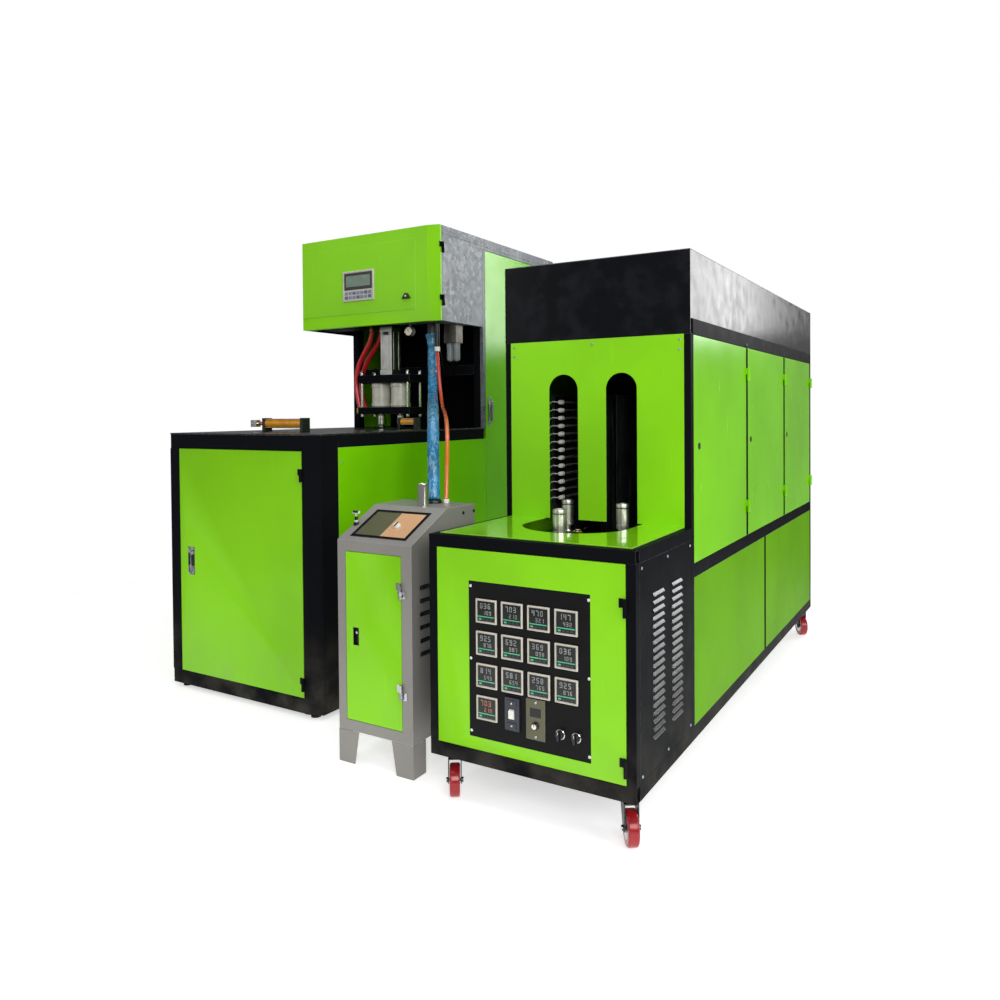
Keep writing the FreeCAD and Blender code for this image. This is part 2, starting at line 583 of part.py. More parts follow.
def control_door():
    x0 = TUBE + DOOR_GAP
    x1 = OVEN_W - TUBE - DOOR_GAP
    z0 = DOOR_Z[0] + DOOR_GAP
    z1 = DOOR_Z[1] - DOOR_GAP
    sheet = tray(x0, x1, 0, PANEL_DEPTH, z0, z1, "Y")
    sheet = sheet.cut(box(PANEL_X[0], PANEL_X[1], -5, PANEL_DEPTH + 5, PANEL_Z[0], PANEL_Z[1]))
    leaves = door_hinges(x1 + 1, 0, (205, 640), OVEN_AT)
    save("control_door", [sheet] + leaves, OVEN_AT)

    panel = box(PANEL_X[0] - 14, PANEL_X[1] + 14, SHEET, SHEET + 3, PANEL_Z[0] - 14, PANEL_Z[1] + 14)
    places = []
    for row in range(4):
        for column in range(4 if row < 3 else 1):
            places.append((GAUGE_FIRST[0] + column * GAUGE_PITCH_X, GAUGE_FIRST[1] - row * GAUGE_PITCH_Z))
    face = SHEET
    holes = []
    instruments = []
    for x, z in places:
        half = GAUGE / 2
        holes.append(box(x - 33.5, x + 33.5, face - 1, face + 5, z - 33.5, z + 33.5))
        bezel = box(x - half, x + half, face - 6, face, z - half, z + half)
        case = box(x - 33, x + 33, face, face + 75, z - 33, z + 33)
        instruments.append(join(bezel, case))
    # breaker with its rocker, and the speed controller plate
    bx = GAUGE_FIRST[0] + GAUGE_PITCH_X
    bz = GAUGE_FIRST[1] - 3 * GAUGE_PITCH_Z
    breaker = box(bx - 24, bx + 24, face - 8, face, bz - 48, bz + 48)
    slot = box(bx - 8.3, bx + 8.3, face - 9, face, bz - 16, bz + 16)
    instruments.append(breaker.cut(slot))
    plate_x = GAUGE_FIRST[0] + 2 * GAUGE_PITCH_X
    instruments.append(box(plate_x - 43, plate_x + 19, face - 3, face, bz - 62, bz + 56))
    save("panel_instruments", instruments, OVEN_AT)
    rocker = rod(14.5, 16, bx - 8, face - 4, bz, X_AXIS)
    rocker = join(rocker.common(box(bx - 8, bx + 8, face - 14, face - 4, bz - 15, bz + 15)),
                  box(bx - 6, bx + 6, face - 16, face - 8, bz - 4, bz + 4))
    save("breaker_rocker", [rocker], OVEN_AT)
    knob_z = bz - 30
    for name, x in (("left", plate_x + 67), ("right", plate_x + 117)):
        knob = join(rod(KNOB_R, 12, x, face - SEAT_GAP, knob_z, V(0, -1, 0)),
                    box(x - 3, x + 3, face - 20, face - 10, knob_z - KNOB_R, knob_z + KNOB_R),
                    rod(3, 12, x, face - 1, knob_z, Y_AXIS))
        holes.append(rod(3 + RUN, 20, x, face - 5, knob_z, Y_AXIS))
        save(name + "_knob", [knob], OVEN_AT)
    save("control_panel", [cut(panel, holes)], OVEN_AT)


def side_doors():
    low = MID_RAIL_Z + RAIL_H + DOOR_GAP
    high = TOWER_EAVE_Z - DOOR_GAP
    starts = (TOWER_Y + TUBE + DOOR_GAP,) + tuple(y + SEAM / 2 for y in SIDE_SEAMS)
    ends = SIDE_SEAMS + (OVEN_D - TUBE - SEAM / 2,)
    x0 = OVEN_W - PANEL_DEPTH
    names = ("front", "middle", "rear")
    for name, y0, end in zip(names, starts, ends):
        y1 = end - SEAM / 2
        door = tray(x0, OVEN_W, y0, y1, low, high, "x")
        latch_y = y0 + 55
        latch_z = (low + high) / 2 + 8
        door = door.cut(rod(8, 40, OVEN_W - 20, latch_y, latch_z, X_AXIS))
        button = latch(OVEN_W, latch_y, latch_z, X_AXIS, 14)
        edge = SEAM / 2 if name == "rear" else 1
        leaves = door_hinges(OVEN_W, end, (795, 1310), OVEN_AT, 90, PANEL_DEPTH + DOOR_GAP, edge)
        save("side_door_" + name, [door, button] + leaves, OVEN_AT)


# ---- press ----
def press_frame():
    bottom = PRESS_FOOT_H
    rail_top = bottom + PRESS_RAIL_H
    side_top = bottom + SIDE_RAIL_H
    top = PRESS_TABLE_Z - TABLE_PLATE
    post_top = top - PRESS_RAIL_H
    t = PRESS_TUBE
    c = COLUMN_POST
    w = PRESS_W
    right = w - t
    inner = w - 80
    column = (side_top, PRESS_TOP_Z - c)
    slant = [(w - BEVEL[0], 0), (w, BEVEL[1]), (w - 3, BEVEL[1] + 2), (w - BEVEL[0] - 1, 3)]
    side = [(w, BEVEL[1]), (w, 120), (w - 3, 120), (w - 3, BEVEL[1] + 2)]
    front = [(inner, 0), (w - BEVEL[0], 0), (w - BEVEL[0] - 1, 3), (inner, 3)]
    bars = [prism(outline, bottom, top) for outline in (front, slant, side)]
    bars.append(box(inner, w - 3, BEVEL[1] + 6, 120, bottom, bottom + 4))
    bars.append(bar(0, t, 0, t, rail_top, post_top, 3))
    bars.append(bar(0, inner, 3, t, bottom, rail_top, 3))
    bars.append(bar(0, inner, 3, t, post_top, top, 3))
    for x, y0 in ((0, t), (right, 122)):
        bars.append(bar(x, x + t, y0, PRESS_D - c, bottom, side_top, 3))
        bars.append(bar(x, x + t, y0, COLUMN_Y, top - 50, top, 3))
        bars.append(bar(x, x + c, COLUMN_Y, COLUMN_Y + c, column[0], column[1]))
        bars.append(bar(x, x + c, PRESS_D - c, PRESS_D, column[0], column[1]))
        bars.append(bar(x, x + c, COLUMN_Y + c, PRESS_D - c, column[1] - c, column[1]))
    bars.append(bar(0, w - PANEL_DEPTH, PRESS_D - c, PRESS_D, bottom, side_top))
    for y in (MOULD_Y - 402, COLUMN_Y):
        bars.append(bar(t, right, y, y + c, bottom, side_top, 3))
    for y in (COLUMN_Y, PRESS_D - c):
        bars.append(bar(c, right, y, y + c, column[1] - c, column[1]))
    feet = []
    for x in (c, w - 2 * c + PANEL_DEPTH):
        for y in (45, 1000, PRESS_D - 25):
            feet.append(join(rod(20, 8, x, y, 0), rod(6, bottom - 4, x, y, 4)))
    save("press_frame", bars + feet, PRESS_AT)


def press_sheets():
    bottom = PRESS_FOOT_H + SIDE_RAIL_H
    top = PRESS_TABLE_Z - TABLE_PLATE - 50
    w = PRESS_W
    d = PANEL_DEPTH
    c = COLUMN_POST
    high = PRESS_TOP_Z - 2 * c
    green = [tray(w - d, w, 120, COLUMN_Y + 23, bottom, top, "x"),
             tray(0, d, PRESS_TUBE, COLUMN_Y, bottom, top, "X"),
             tray(0, d, COLUMN_Y + c, PRESS_D - c, bottom, high, "X"),
             tray(c, w - PRESS_TUBE, PRESS_D - d, PRESS_D, bottom, high, "y")]
    save("press_panels", green, PRESS_AT)

    # table plate with its well, and the bevelled corner
    z = PRESS_TABLE_Z
    outline = [(0, 0), (w - BEVEL[0], 0), (w, BEVEL[1]), (w, COLUMN_Y), (0, COLUMN_Y)]
    plate = prism(outline, z - TABLE_PLATE, z)
    well = box(PRESS_MID - WELL[0] / 2, PRESS_MID + WELL[0] / 2, MOULD_Y - WELL[1] / 2, MOULD_Y + WELL[1] / 2,
               z - 20, z + 20)
    save("press_table", [plate.cut(well)], PRESS_AT)

    # black roof and left side of the head, dark wall in the column, bare metal side sheet and strips
    y0 = HEAD_Y + HEAD_COVER_D + DOOR_GAP
    roof_z = PRESS_TOP_Z - c
    roof = tray(0, w, y0, PRESS_D, roof_z, PRESS_TOP_Z, "z")
    left = box(0, 2, y0, COLUMN_Y, HEAD_Z, roof_z)
    right = tray(w - d, w, y0, COLUMN_Y - 0.5, HEAD_Z, roof_z - 0.5, "x")
    strip = box(w - d, w, COLUMN_Y, COLUMN_Y + 23, PRESS_TABLE_Z - TABLE_PLATE, roof_z)
    over = box(w - d, w, COLUMN_Y + 23, PRESS_D, roof_z - 18, roof_z)
    wall = box(c, w - PRESS_TUBE, COLUMN_Y + c + 240, COLUMN_Y + c + 242, PRESS_TABLE_Z, roof_z - c)
    wall_foot = box(c, w - PRESS_TUBE, COLUMN_Y, COLUMN_Y + c + 242, PRESS_TABLE_Z - TABLE_PLATE, PRESS_TABLE_Z)
    save("head_shell", [roof, left, right, strip, over, join(wall, wall_foot)], PRESS_AT)


def seal_head():
    """Beam under the head, seal plates on tie rods, barrels, hollow nozzles and hose ports."""
    mid = PRESS_MID
    half = (SEAL_PLATE[0] / 2, SEAL_PLATE[1] / 2)
    upper, lower = SEAL_PLATE_Z
    seats = [mid - CAVITY_PITCH / 2, mid + CAVITY_PITCH / 2]
    solids = [bar(2, PRESS_W - PANEL_DEPTH, MOULD_Y - 60, MOULD_Y + 60, BEAM_Z, BEAM_Z + 50, 4)]
    top_plate = box(mid - half[0], mid + half[0], MOULD_Y - half[1], MOULD_Y + half[1], upper[0], upper[1])
    arms = [box(mid + x - 18, mid + x + 18, MOULD_Y + half[1], COLUMN_Y + COLUMN_POST, upper[0], upper[1])
            for x in (-140, 140)]
    solids += [top_plate] + arms
    cross = box(COLUMN_POST, PRESS_W - PRESS_TUBE, COLUMN_Y, COLUMN_Y + COLUMN_POST, upper[1], upper[1] + 50)
    solids.append(cross)
    bottom_plate = box(mid - half[0], mid + half[0], MOULD_Y - half[1], MOULD_Y + half[1], lower[0], lower[1])
    solids.append(cut(bottom_plate, [rod(NOZZLE_ROD_R + RUN, 90, x, MOULD_Y, lower[0] - 20) for x in seats]))
    for dx in (-SEAL_ROD_PITCH[0] / 2, SEAL_ROD_PITCH[0] / 2):
        for dy in (-SEAL_ROD_PITCH[1] / 2, SEAL_ROD_PITCH[1] / 2):
            solids.append(rod(7, upper[0] - lower[1], mid + dx, MOULD_Y + dy, lower[1]))
            solids.append(rod(9, 14, mid + dx, MOULD_Y + dy, lower[0] - 14))
            solids.append(rod(9, 14, mid + dx, MOULD_Y + dy, upper[1]))
    ports_x = mid - half[0] - 15
    solids.append(box(ports_x - 12, ports_x + 15, MOULD_Y - 44, MOULD_Y + 28, lower[0] + 4, 1222))
    for route in (SEAL_HOSE_FRONT, SEAL_HOSE_BACK):
        x, y, z = route[0]
        solids.append(rod(SEAL_HOSE_R + 3, BEAM_Z - z, x - PRESS_AT[0], y - PRESS_AT[1], z))
    save("seal_frame", solids, PRESS_AT)

    barrels = []
    w = STRETCH_W / 2
    for z0, z1, grow in ((upper[1], upper[1] + 28, 2), (upper[1] + 28, BEAM_Z - 28, 0), (BEAM_Z - 28, BEAM_Z, 2)):
        r = w + grow
        block = box(mid - r, mid + r, MOULD_Y - r, MOULD_Y + r, z0, z1)
        barrels.append(block.makeChamfer(5, [e for e in block.Edges if abs(e.Length - (z1 - z0)) < 0.01]))
    stretch = join(*barrels)
    cylinders = [stretch]
    for x in seats:
        body = turned([(0, lower[1]), (SEAL_R + 2, lower[1]), (SEAL_R + 2, lower[1] + 14), (SEAL_R, lower[1] + 16),
                       (SEAL_R, upper[0] - 16), (SEAL_R + 2, upper[0] - 14), (SEAL_R + 2, upper[0]),
                       (0, upper[0])], x, MOULD_Y)
        cylinders.append(body.cut(rod(NOZZLE_ROD_R + RUN, 116, x, MOULD_Y, lower[1] - 1)))
    save("air_cylinders", cylinders, PRESS_AT)

    nozzles = []
    z0, z1 = NOZZLE_Z
    for x in seats:
        nozzles.append(turned([(NOZZLE_BORE_R, z0), (NOZZLE_R - 4, z0), (NOZZLE_R - 4, z0 + 14), (NOZZLE_R, z0 + 16),
                               (NOZZLE_R, z1 - 3), (NOZZLE_R - 3, z1), (NOZZLE_ROD_R, z1), (NOZZLE_ROD_R, 1335),
                               (0, 1335), (0, z0 + 34), (NOZZLE_BORE_R, z0 + 34)], x, MOULD_Y))
    save("seal_nozzles", nozzles, PRESS_AT)


def table_cylinders():
    """Amber barrels on the table with black end caps; the front one works a clevis."""
    z = PRESS_TABLE_Z
    solids = []
    for x0, x1, y, radius in ((238, 488, 332, 22), (583, 694, 882, 17)):
        height = 36
        rise = height + radius
        for x in (x0, x1 - 14):
            cap = box(x, x + 14, y - radius - 3, y + radius + 3, z, z + rise + 3)
            if radius == 22:
                cap = cap.cut(rod(6 + RUN, 30, x - 1, y, z + height, X_AXIS)) if x == x0 else cap
            solids.append(cap)
        barrel = rod(radius, x1 - x0 - 28, x0 + 14, y, z + height, X_AXIS)
        if radius == 22:
            barrel = barrel.cut(rod(6 + RUN, 120, x0 + 13, y, z + height, X_AXIS))
        solids.append(barrel)
    save("amber_cylinders", solids, PRESS_AT)
    x0 = 238
    y = 332
    stem = rod(6, 170, x0 - 60, y, z + 36, X_AXIS)
    clevis = box(x0 - 86, x0 - 50, y - 14, y + 14, z + 36 - 16, z + 36 + 16)
    clevis = clevis.cut(box(x0 - 90, x0 - 68, y - 6, y + 6, z, z + 80))
    pin = rod(5, 34, x0 - 76, y - 17, z + 36, Y_AXIS)
    save("table_cylinder_rod", [join(clevis, stem, pin)], PRESS_AT)


def manifold():
    """Valve plate under the head's right side with its regulator block, filter bowls, gauge and hose ports."""
    plate = box(560, PRESS_W - PANEL_DEPTH, 870, 1120, HEAD_Z + 2, HEAD_Z + 9)
    plate = plate.cut(box(550, PRESS_W - 100, MOULD_Y - 66, 1130, HEAD_Z - 5, HEAD_Z + 12))
    block = box(PRESS_W - 100, PRESS_W - 28, 1006, 1066, 1540, HEAD_Z + 2)
    bowls = [turned([(0, 1450), (12, 1452), (16, 1462), (16, 1540), (0, 1540)], x, 1036) for x in (PRESS_W - 84, PRESS_W - 44)]
    blue = BLUE_ROUTE[0]
    red = RED_ROUTE[0]
    ports = []
    for (x, y, z), radius in ((blue, BLUE_R + 4), (red, RED_R + 4)):
        ports.append(rod(radius, HEAD_Z + 2 - z, x - PRESS_AT[0], y - PRESS_AT[1], z))
    gauge = join(rod(24, 18, 640, 890, 1596, Y_AXIS), rod(6, 24, 640, 899, HEAD_Z - 22))
    save("air_manifold", [plate, block, gauge] + bowls + ports, PRESS_AT)


def moulds():
    """Mould halves on their platens, the guide rods, end plates, bed and clamp barrels under the table."""
    mid = PRESS_MID
    top = MOULD_TOP_Z
    low = top - MOULD[2]
    gx = GUIDE_PITCH[0] / 2
    gz = GUIDE_PITCH[1] / 2
    guide_mid = top - MOULD[2] / 2
    plate_z = (guide_mid - PLATEN[2] / 2, guide_mid + PLATEN[2] / 2 - 25)
    corners = [(mid + sx * gx, guide_mid + sz * gz) for sx in (-1, 1) for sz in (-1, 1)]
    reach = MOULD_GAP / 2 + MOULD[1] + PLATEN[1]
    end_y = reach + 118
    for name, side in (("front", -1), ("rear", 1)):
        face = MOULD_Y + side * MOULD_GAP / 2
        back = face + side * MOULD[1]
        half = box(mid - MOULD[0] / 2, mid + MOULD[0] / 2, min(face, back), max(face, back), low, top)
        cavities = []
        for dx in (-CAVITY_PITCH / 2, CAVITY_PITCH / 2):
            bottle = turned([(0, low + 30), (40, low + 30), (44, low + 40), (44, top - 110), (14, top - 50),
                             (14, top + 1), (0, top + 1)], mid + dx, face)
            cavities.append(bottle)
        half = cut(half, cavities)
        far = back + side * PLATEN[1]
        platen = box(mid - PLATEN[0] / 2, mid + PLATEN[0] / 2, min(back, far), max(back, far), plate_z[0], plate_z[1])
        platen = cut(platen, [rod(GUIDE_R + RUN, 80, x, min(back, far) - 20, z, Y_AXIS) for x, z in corners])
        start = far if side > 0 else far - 280
        piston = rod(PISTON_R, 280, mid, start, guide_mid, Y_AXIS)
        save("mould_half_" + name, [half, join(platen, piston)], PRESS_AT)

    solids = []
    for x, z in corners:
        solids.append(rod(GUIDE_R, 2 * end_y, x, MOULD_Y - end_y, z, Y_AXIS))
    for side in (-1, 1):
        inner = MOULD_Y + side * end_y
        outer = inner + side * 30
        plate = box(mid - PLATEN[0] / 2, mid + PLATEN[0] / 2, min(inner, outer), max(inner, outer), low - 60, top - 20)
        solids.append(plate.cut(rod(PISTON_R + RUN, 80, mid, min(inner, outer) - 20, guide_mid, Y_AXIS)))
        far = outer if side > 0 else outer - 190
        barrel = rod(CLAMP_R, 190, mid, far, guide_mid, Y_AXIS)
        solids.append(barrel.cut(rod(PISTON_R + RUN, 180, mid, far if side > 0 else far + 10, guide_mid, Y_AXIS)))
    bed_z = low - 60
    for x in (mid - 200, mid + 140):
        solids.append(bar(x, x + 60, MOULD_Y - end_y - 30, MOULD_Y + end_y + 30, bed_z - 60, bed_z, 4))
        for y in (MOULD_Y - 402, COLUMN_Y):
            solids.append(bar(x, x + 60, y, y + COLUMN_POST, PRESS_FOOT_H + SIDE_RAIL_H, bed_z - 60, 3))
    save("mould_guides", solids, PRESS_AT)


def press_doors():
    w = PRESS_W
    d = PANEL_DEPTH
    x0 = PRESS_TUBE + DOOR_GAP
    x1 = w - 80 - DOOR_GAP
    z0 = PRESS_FOOT_H + PRESS_RAIL_H + DOOR_GAP
    z1 = PRESS_TABLE_Z - TABLE_PLATE - PRESS_RAIL_H - DOOR_GAP
    pull = (108, 151, 505, 626)
    door = tray(x0, x1, 0, d, z0, z1, "Y")
    door = door.cut(box(pull[0], pull[1], -5, 5, pull[2], pull[3]))
    cup = tray(pull[0], pull[1], 0, 14, pull[2], pull[3], "y")
    leaves = door_hinges(x1 + 1, 0, (110, 930), PRESS_AT)
    save("press_base_door", [door, cup] + leaves, PRESS_AT)

    y0 = COLUMN_Y + 25
    y1 = PRESS_D - SEAM
    low = PRESS_FOOT_H + SIDE_RAIL_H + DOOR_GAP
    high = PRESS_TOP_Z - COLUMN_POST - 18 - DOOR_GAP
    tall = tray(w - d, w, y0, y1, low, high, "x")
    grip = join(box(w, w + 3, y0 + 16, y0 + 46, 1130, 1270), box(w + 3, w + 22, y0 + 25, y0 + 37, 1150, 1250))
    leaves = door_hinges(w, PRESS_D - SEAM / 2, (300, 1100, 1800), PRESS_AT, turn=90, web=d)
    save("column_door", [tall, grip] + leaves, PRESS_AT)

    # folded front cover of the head
    y0 = HEAD_Y
    y1 = HEAD_Y + HEAD_COVER_D
    bx, by = HEAD_BEVEL
    t = SHEET
    skin = prism([(0, y0), (w - bx, y0), (w, y0 + by), (w, y1), (0, y1)], HEAD_Z, PRESS_TOP_Z)
    hollow = prism([(t, y0 + t), (w - bx - 0.4, y0 + t), (w - t, y0 + by + 1), (w - t, y1 + 5), (t, y1 + 5)],
                   HEAD_Z + t, PRESS_TOP_Z - t)
    cover = skin.cut(hollow)
    lock = (683, HEAD_Z + 126)
    display_cut = box(DISPLAY[0] + 8, DISPLAY[1] - 8, y0 - 5, y0 + 5, DISPLAY[2] + 8, DISPLAY[3] - 8)
    cover = cut(cover, [display_cut, rod(4 + RUN, 20, lock[0], y0 - 5, lock[1], Y_AXIS)])
    leaves = door_hinges(w, y1 + 1, (HEAD_Z + 72, PRESS_TOP_Z - 130), PRESS_AT, turn=90)
    save("head_door", [cover] + leaves, PRESS_AT)
    bezel = box(DISPLAY[0], DISPLAY[1], y0 - 9, y0, DISPLAY[2], DISPLAY[3])
    case = box(DISPLAY[0] + 8, DISPLAY[1] - 8, y0, y0 + 26, DISPLAY[2] + 8, DISPLAY[3] - 8)
    save("head_display", [join(bezel, case)], PRESS_AT)
    outline = [(-24, -12), (24, -12), (5, 14), (-5, 14)]
    wire = Part.makePolygon([V(lock[0] + x, y0 - SEAT_GAP, lock[1] + z) for x, z in outline + outline[:1]])
    wedge = Part.Face(wire).extrude(V(0, -14, 0))
    save("head_lock_knob", [join(wedge, rod(4, 16, lock[0], y0 - 1, lock[1], Y_AXIS))], PRESS_AT)


# ---- air cabinet ----
def air_cabinet():
    w = AIR_W
    d = AIR_D
    t = 2
    z = AIR_BODY_Z
    slope = math.degrees(math.atan2(AIR_TOP_Z - AIR_LIP_Z, AIR_SLOPE_D))

    def tilt(shape):
        """From the flat (across, up the slope, out) to the sloping panel."""
        shape.rotate(V(0, 0, 0), X_AXIS, slope)
        shape.translate(V(0, 0, AIR_LIP_Z))
        return shape

    # sheets of the body, face to face: sides, back, bottom, top, door surround and window surround
    profile = [(0, z), (0, AIR_LIP_Z), (AIR_SLOPE_D, AIR_TOP_Z), (d, AIR_TOP_Z), (d, z)]
    louvres = [box(w - 5, w + 5, 46, 92, 396 + i * 44, 405 + i * 44) for i in range(6)]
    sheets = [profile_x(profile, 0, t), cut(profile_x(profile, w - t, w), louvres),
              box(t, w - t, d - t, d, z, AIR_TOP_Z),
              box(t, w - t, t, d - t, z, z + t),
              box(t, w - t, AIR_SLOPE_D, d - t, AIR_TOP_Z - t, AIR_TOP_Z)]
    for x0, x1, z0, z1 in ((t, AIR_DOOR[0], z, AIR_LIP_Z - t), (AIR_DOOR[1], w - t, z, AIR_LIP_Z - t),
                           (AIR_DOOR[0], AIR_DOOR[1], z, AIR_DOOR[2]),
                           (AIR_DOOR[0], AIR_DOOR[1], AIR_DOOR[3], AIR_LIP_Z - t)):
        sheets.append(box(x0, x1, 0, t, z0, z1))

    def slope_z(y):
        return AIR_LIP_Z + (AIR_TOP_Z - AIR_LIP_Z) * y / AIR_SLOPE_D

    cos = math.cos(math.radians(slope))
    window = (24 * cos - 0.5, 190 * cos + 1)
    for x0, x1, y0, y1 in ((t, 40, 0, AIR_SLOPE_D), (278, w - t, 0, AIR_SLOPE_D), (40, 278, 0, window[0]),
                           (40, 278, window[1], AIR_SLOPE_D)):
        corners = [(y0, slope_z(y0)), (y1, slope_z(y1)), (y1, slope_z(y1) - t), (y0, slope_z(y0) - t)]
        strip = profile_x(corners, x0, x1)
        if x0 == t:
            strip = strip.cut(rod(3 + RUN, 60, 14, 84, 770))
        sheets.append(strip)
    for x0, x1, side in ((0, 70, 89), (w, w - 70, w - 89)):
        for y0 in (0, d - t):
            outline = [(x0, 0), (x1, 0), (side, z), (x0, z)]
            wire = Part.makePolygon([V(px, y0, pz) for px, pz in outline + outline[:1]])
            sheets.append(Part.Face(wire).extrude(V(0, t, 0)))
        edge = min(x0, abs(x0 - t))
        sheets.append(box(edge, edge + t, t, 70, 0, z))
        sheets.append(box(edge, edge + t, d - 70, d - t, 0, z))
    save("air_cabinet_shell", sheets, AIR_AT)

    frame = box(40, 278, 24, 190, -6, 1).cut(box(52, 266, 36, 178, -8, 4))
    plates = [box(52, 159, 36, 178, -6, -3), box(159, 266, 36, 178, -6, -3)]
    shaft = rod(3 + RUN, 20, 190, 100, -12)
    plates = [plate.cut(shaft) for plate in plates]
    save("air_panels", [tilt(s) for s in [frame] + plates], AIR_AT)
    knob = join(rod(13, 10, 190, 100, -3 + SEAT_GAP), box(188, 192, 88, 112, 6, 9), rod(3, 8, 190, 100, -10))
    save("air_panel_knob", [tilt(knob)], AIR_AT)

    x0, x1, z0, z1 = AIR_DOOR
    door = tray(x0 + DOOR_GAP, x1 - DOOR_GAP, 0, PANEL_DEPTH, z0 + DOOR_GAP, z1 - DOOR_GAP, "Y")
    pull = (68, 93, 409, 470)
    door = door.cut(box(pull[0], pull[1], -5, 5, pull[2], pull[3]))
    cup = tray(pull[0], pull[1], 0, 12, pull[2], pull[3], "y")
    leaves = door_hinges(x1 - 1, 0, (256, 590), AIR_AT)
    save("air_door", [door, cup] + leaves, AIR_AT)

    top = AIR_TOP_Z
    stub = pipe(STUB_R, STUB_R - 3, STUB_H, STUB_AT[0], STUB_AT[1], top)
    fittings = [stub]
    for (x, y, z_end), radius in ((BLUE_ROUTE[-1], BLUE_R + 6), (RED_ROUTE[-1], RED_R + 4)):
        fittings.append(rod(radius, z_end - top, x - AIR_AT[0], y - AIR_AT[1], top))
    save("air_fittings", fittings, AIR_AT)
    stem_z = AIR_LIP_Z + 84 * math.tan(math.radians(slope)) + 4
    handle = join(rod(3, 60, 14, 84, stem_z - 20), rod(6, 12, 14, 84, stem_z), rod(5, 30, -1, 84, stem_z + 38, X_AXIS))
    save("valve_handle", [handle], AIR_AT)


def build_all():
    oven_frame()
    casters()
    oven_sheets()
    table_plate()
    arch_panel()
    oven_hood()
    conveyor()
    lamps()
    control_door()
    side_doors()
    press_frame()
    press_sheets()
    seal_head()
    table_cylinders()
    manifold()
    moulds()
    press_doors()
    air_cabinet()
    save("hinge_seats", hinge_seats)
    save("blue_hose", [hose(BLUE_ROUTE, BLUE_R)])
    save("red_hose", [hose(RED_ROUTE, RED_R)])
    save("seal_hose_front", [hose(SEAL_HOSE_FRONT, SEAL_HOSE_R)])
    save("seal_hose_back", [hose(SEAL_HOSE_BACK, SEAL_HOSE_R)])


build_all()
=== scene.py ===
"""Looks of a two-cavity stretch blow moulding set: preform oven, blow press and air cabinet."""

import logging
import math
from collections.abc import Callable, Iterable, Sequence
from dataclasses import dataclass
from enum import Enum
from typing import Any

import bmesh
import bpy
from mathutils import Matrix, Vector, noise


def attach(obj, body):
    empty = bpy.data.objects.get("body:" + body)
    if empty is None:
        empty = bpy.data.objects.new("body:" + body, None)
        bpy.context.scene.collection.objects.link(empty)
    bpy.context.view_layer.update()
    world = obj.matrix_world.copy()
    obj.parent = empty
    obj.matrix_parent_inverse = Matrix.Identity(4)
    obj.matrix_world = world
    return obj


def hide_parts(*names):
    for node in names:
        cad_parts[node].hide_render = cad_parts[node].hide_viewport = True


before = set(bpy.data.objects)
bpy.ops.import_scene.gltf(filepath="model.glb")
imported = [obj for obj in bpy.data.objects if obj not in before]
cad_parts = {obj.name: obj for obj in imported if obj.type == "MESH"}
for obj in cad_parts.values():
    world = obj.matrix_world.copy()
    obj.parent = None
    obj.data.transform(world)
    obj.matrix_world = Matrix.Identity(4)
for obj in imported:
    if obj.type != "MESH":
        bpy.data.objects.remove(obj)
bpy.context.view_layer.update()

LOG = logging.getLogger("blow_moulding_set")
MM = 0.001

Point = tuple[float, float, float]
Tint = tuple[float, float, float]
Mesh = bmesh.types.BMesh


def linear(red: int, green: int, blue: int) -> tuple[float, float, float, float]:
    """Turn a display colour into a shader colour.

    Args:
        red: Red, 0 to 255.
        green: Green, 0 to 255.
        blue: Blue, 0 to 255.

    Returns:
        The linear colour with full alpha.
    """
    parts = [c / 255 for c in (red, green, blue)]
    scaled = [c / 12.92 if c <= 0.04045 else ((c + 0.055) / 1.055) ** 2.4 for c in parts]
    return (scaled[0], scaled[1], scaled[2], 1.0)


def shade(colour: Sequence[float], factor: float) -> tuple[float, float, float, float]:
    """Lighten or darken a shader colour by a factor, kept within 0 and 1."""
    return tuple(min(1.0, c * factor) for c in colour[:3]) + (1.0,)


class Value:
    """A number that varies over a surface, with Python's operators."""

    def __init__(self, shader: "Shader", socket: bpy.types.NodeSocket) -> None:
        """Keep the socket that carries the number and the shader it belongs to."""
        self.shader = shader
        self.socket = socket

    def _maths(self, operation: str, first: Any, second: Any = 0.0) -> "Value":
        """Add a Math node.

        Args:
            operation: The node's operation.
            first: A value or a number.
            second: A value or a number.

        Returns:
            The result as a value.
        """
        node = self.shader.node("ShaderNodeMath", {"operation": operation}, {0: first, 1: second})
        return Value(self.shader, node.outputs[0])

    def __add__(self, other: Any) -> "Value":
        """Sum."""
        return self._maths("ADD", self, other)

    __radd__ = __add__

    def __sub__(self, other: Any) -> "Value":
        """Difference."""
        return self._maths("SUBTRACT", self, other)

    def __rsub__(self, other: Any) -> "Value":
        """Reflected difference."""
        return self._maths("SUBTRACT", other, self)

    def __mul__(self, other: Any) -> "Value":
        """Product."""
        return self._maths("MULTIPLY", self, other)

    __rmul__ = __mul__

    def __truediv__(self, other: Any) -> "Value":
        """Quotient."""
        return self._maths("DIVIDE", self, other)

    def __pow__(self, other: Any) -> "Value":
        """Power."""
        return self._maths("POWER", self, other)

    def sine(self) -> "Value":
        """Sine of the value in radians."""
        return self._maths("SINE", self)

    def step(self, low: float, high: float) -> "Value":
        """Smooth step from 0 at low to 1 at high."""
        node = self.shader.node(
            "ShaderNodeMapRange", {"interpolation_type": "SMOOTHSTEP"}, {"Value": self, 1: low, 2: high}
        )
        return Value(self.shader, node.outputs[0])


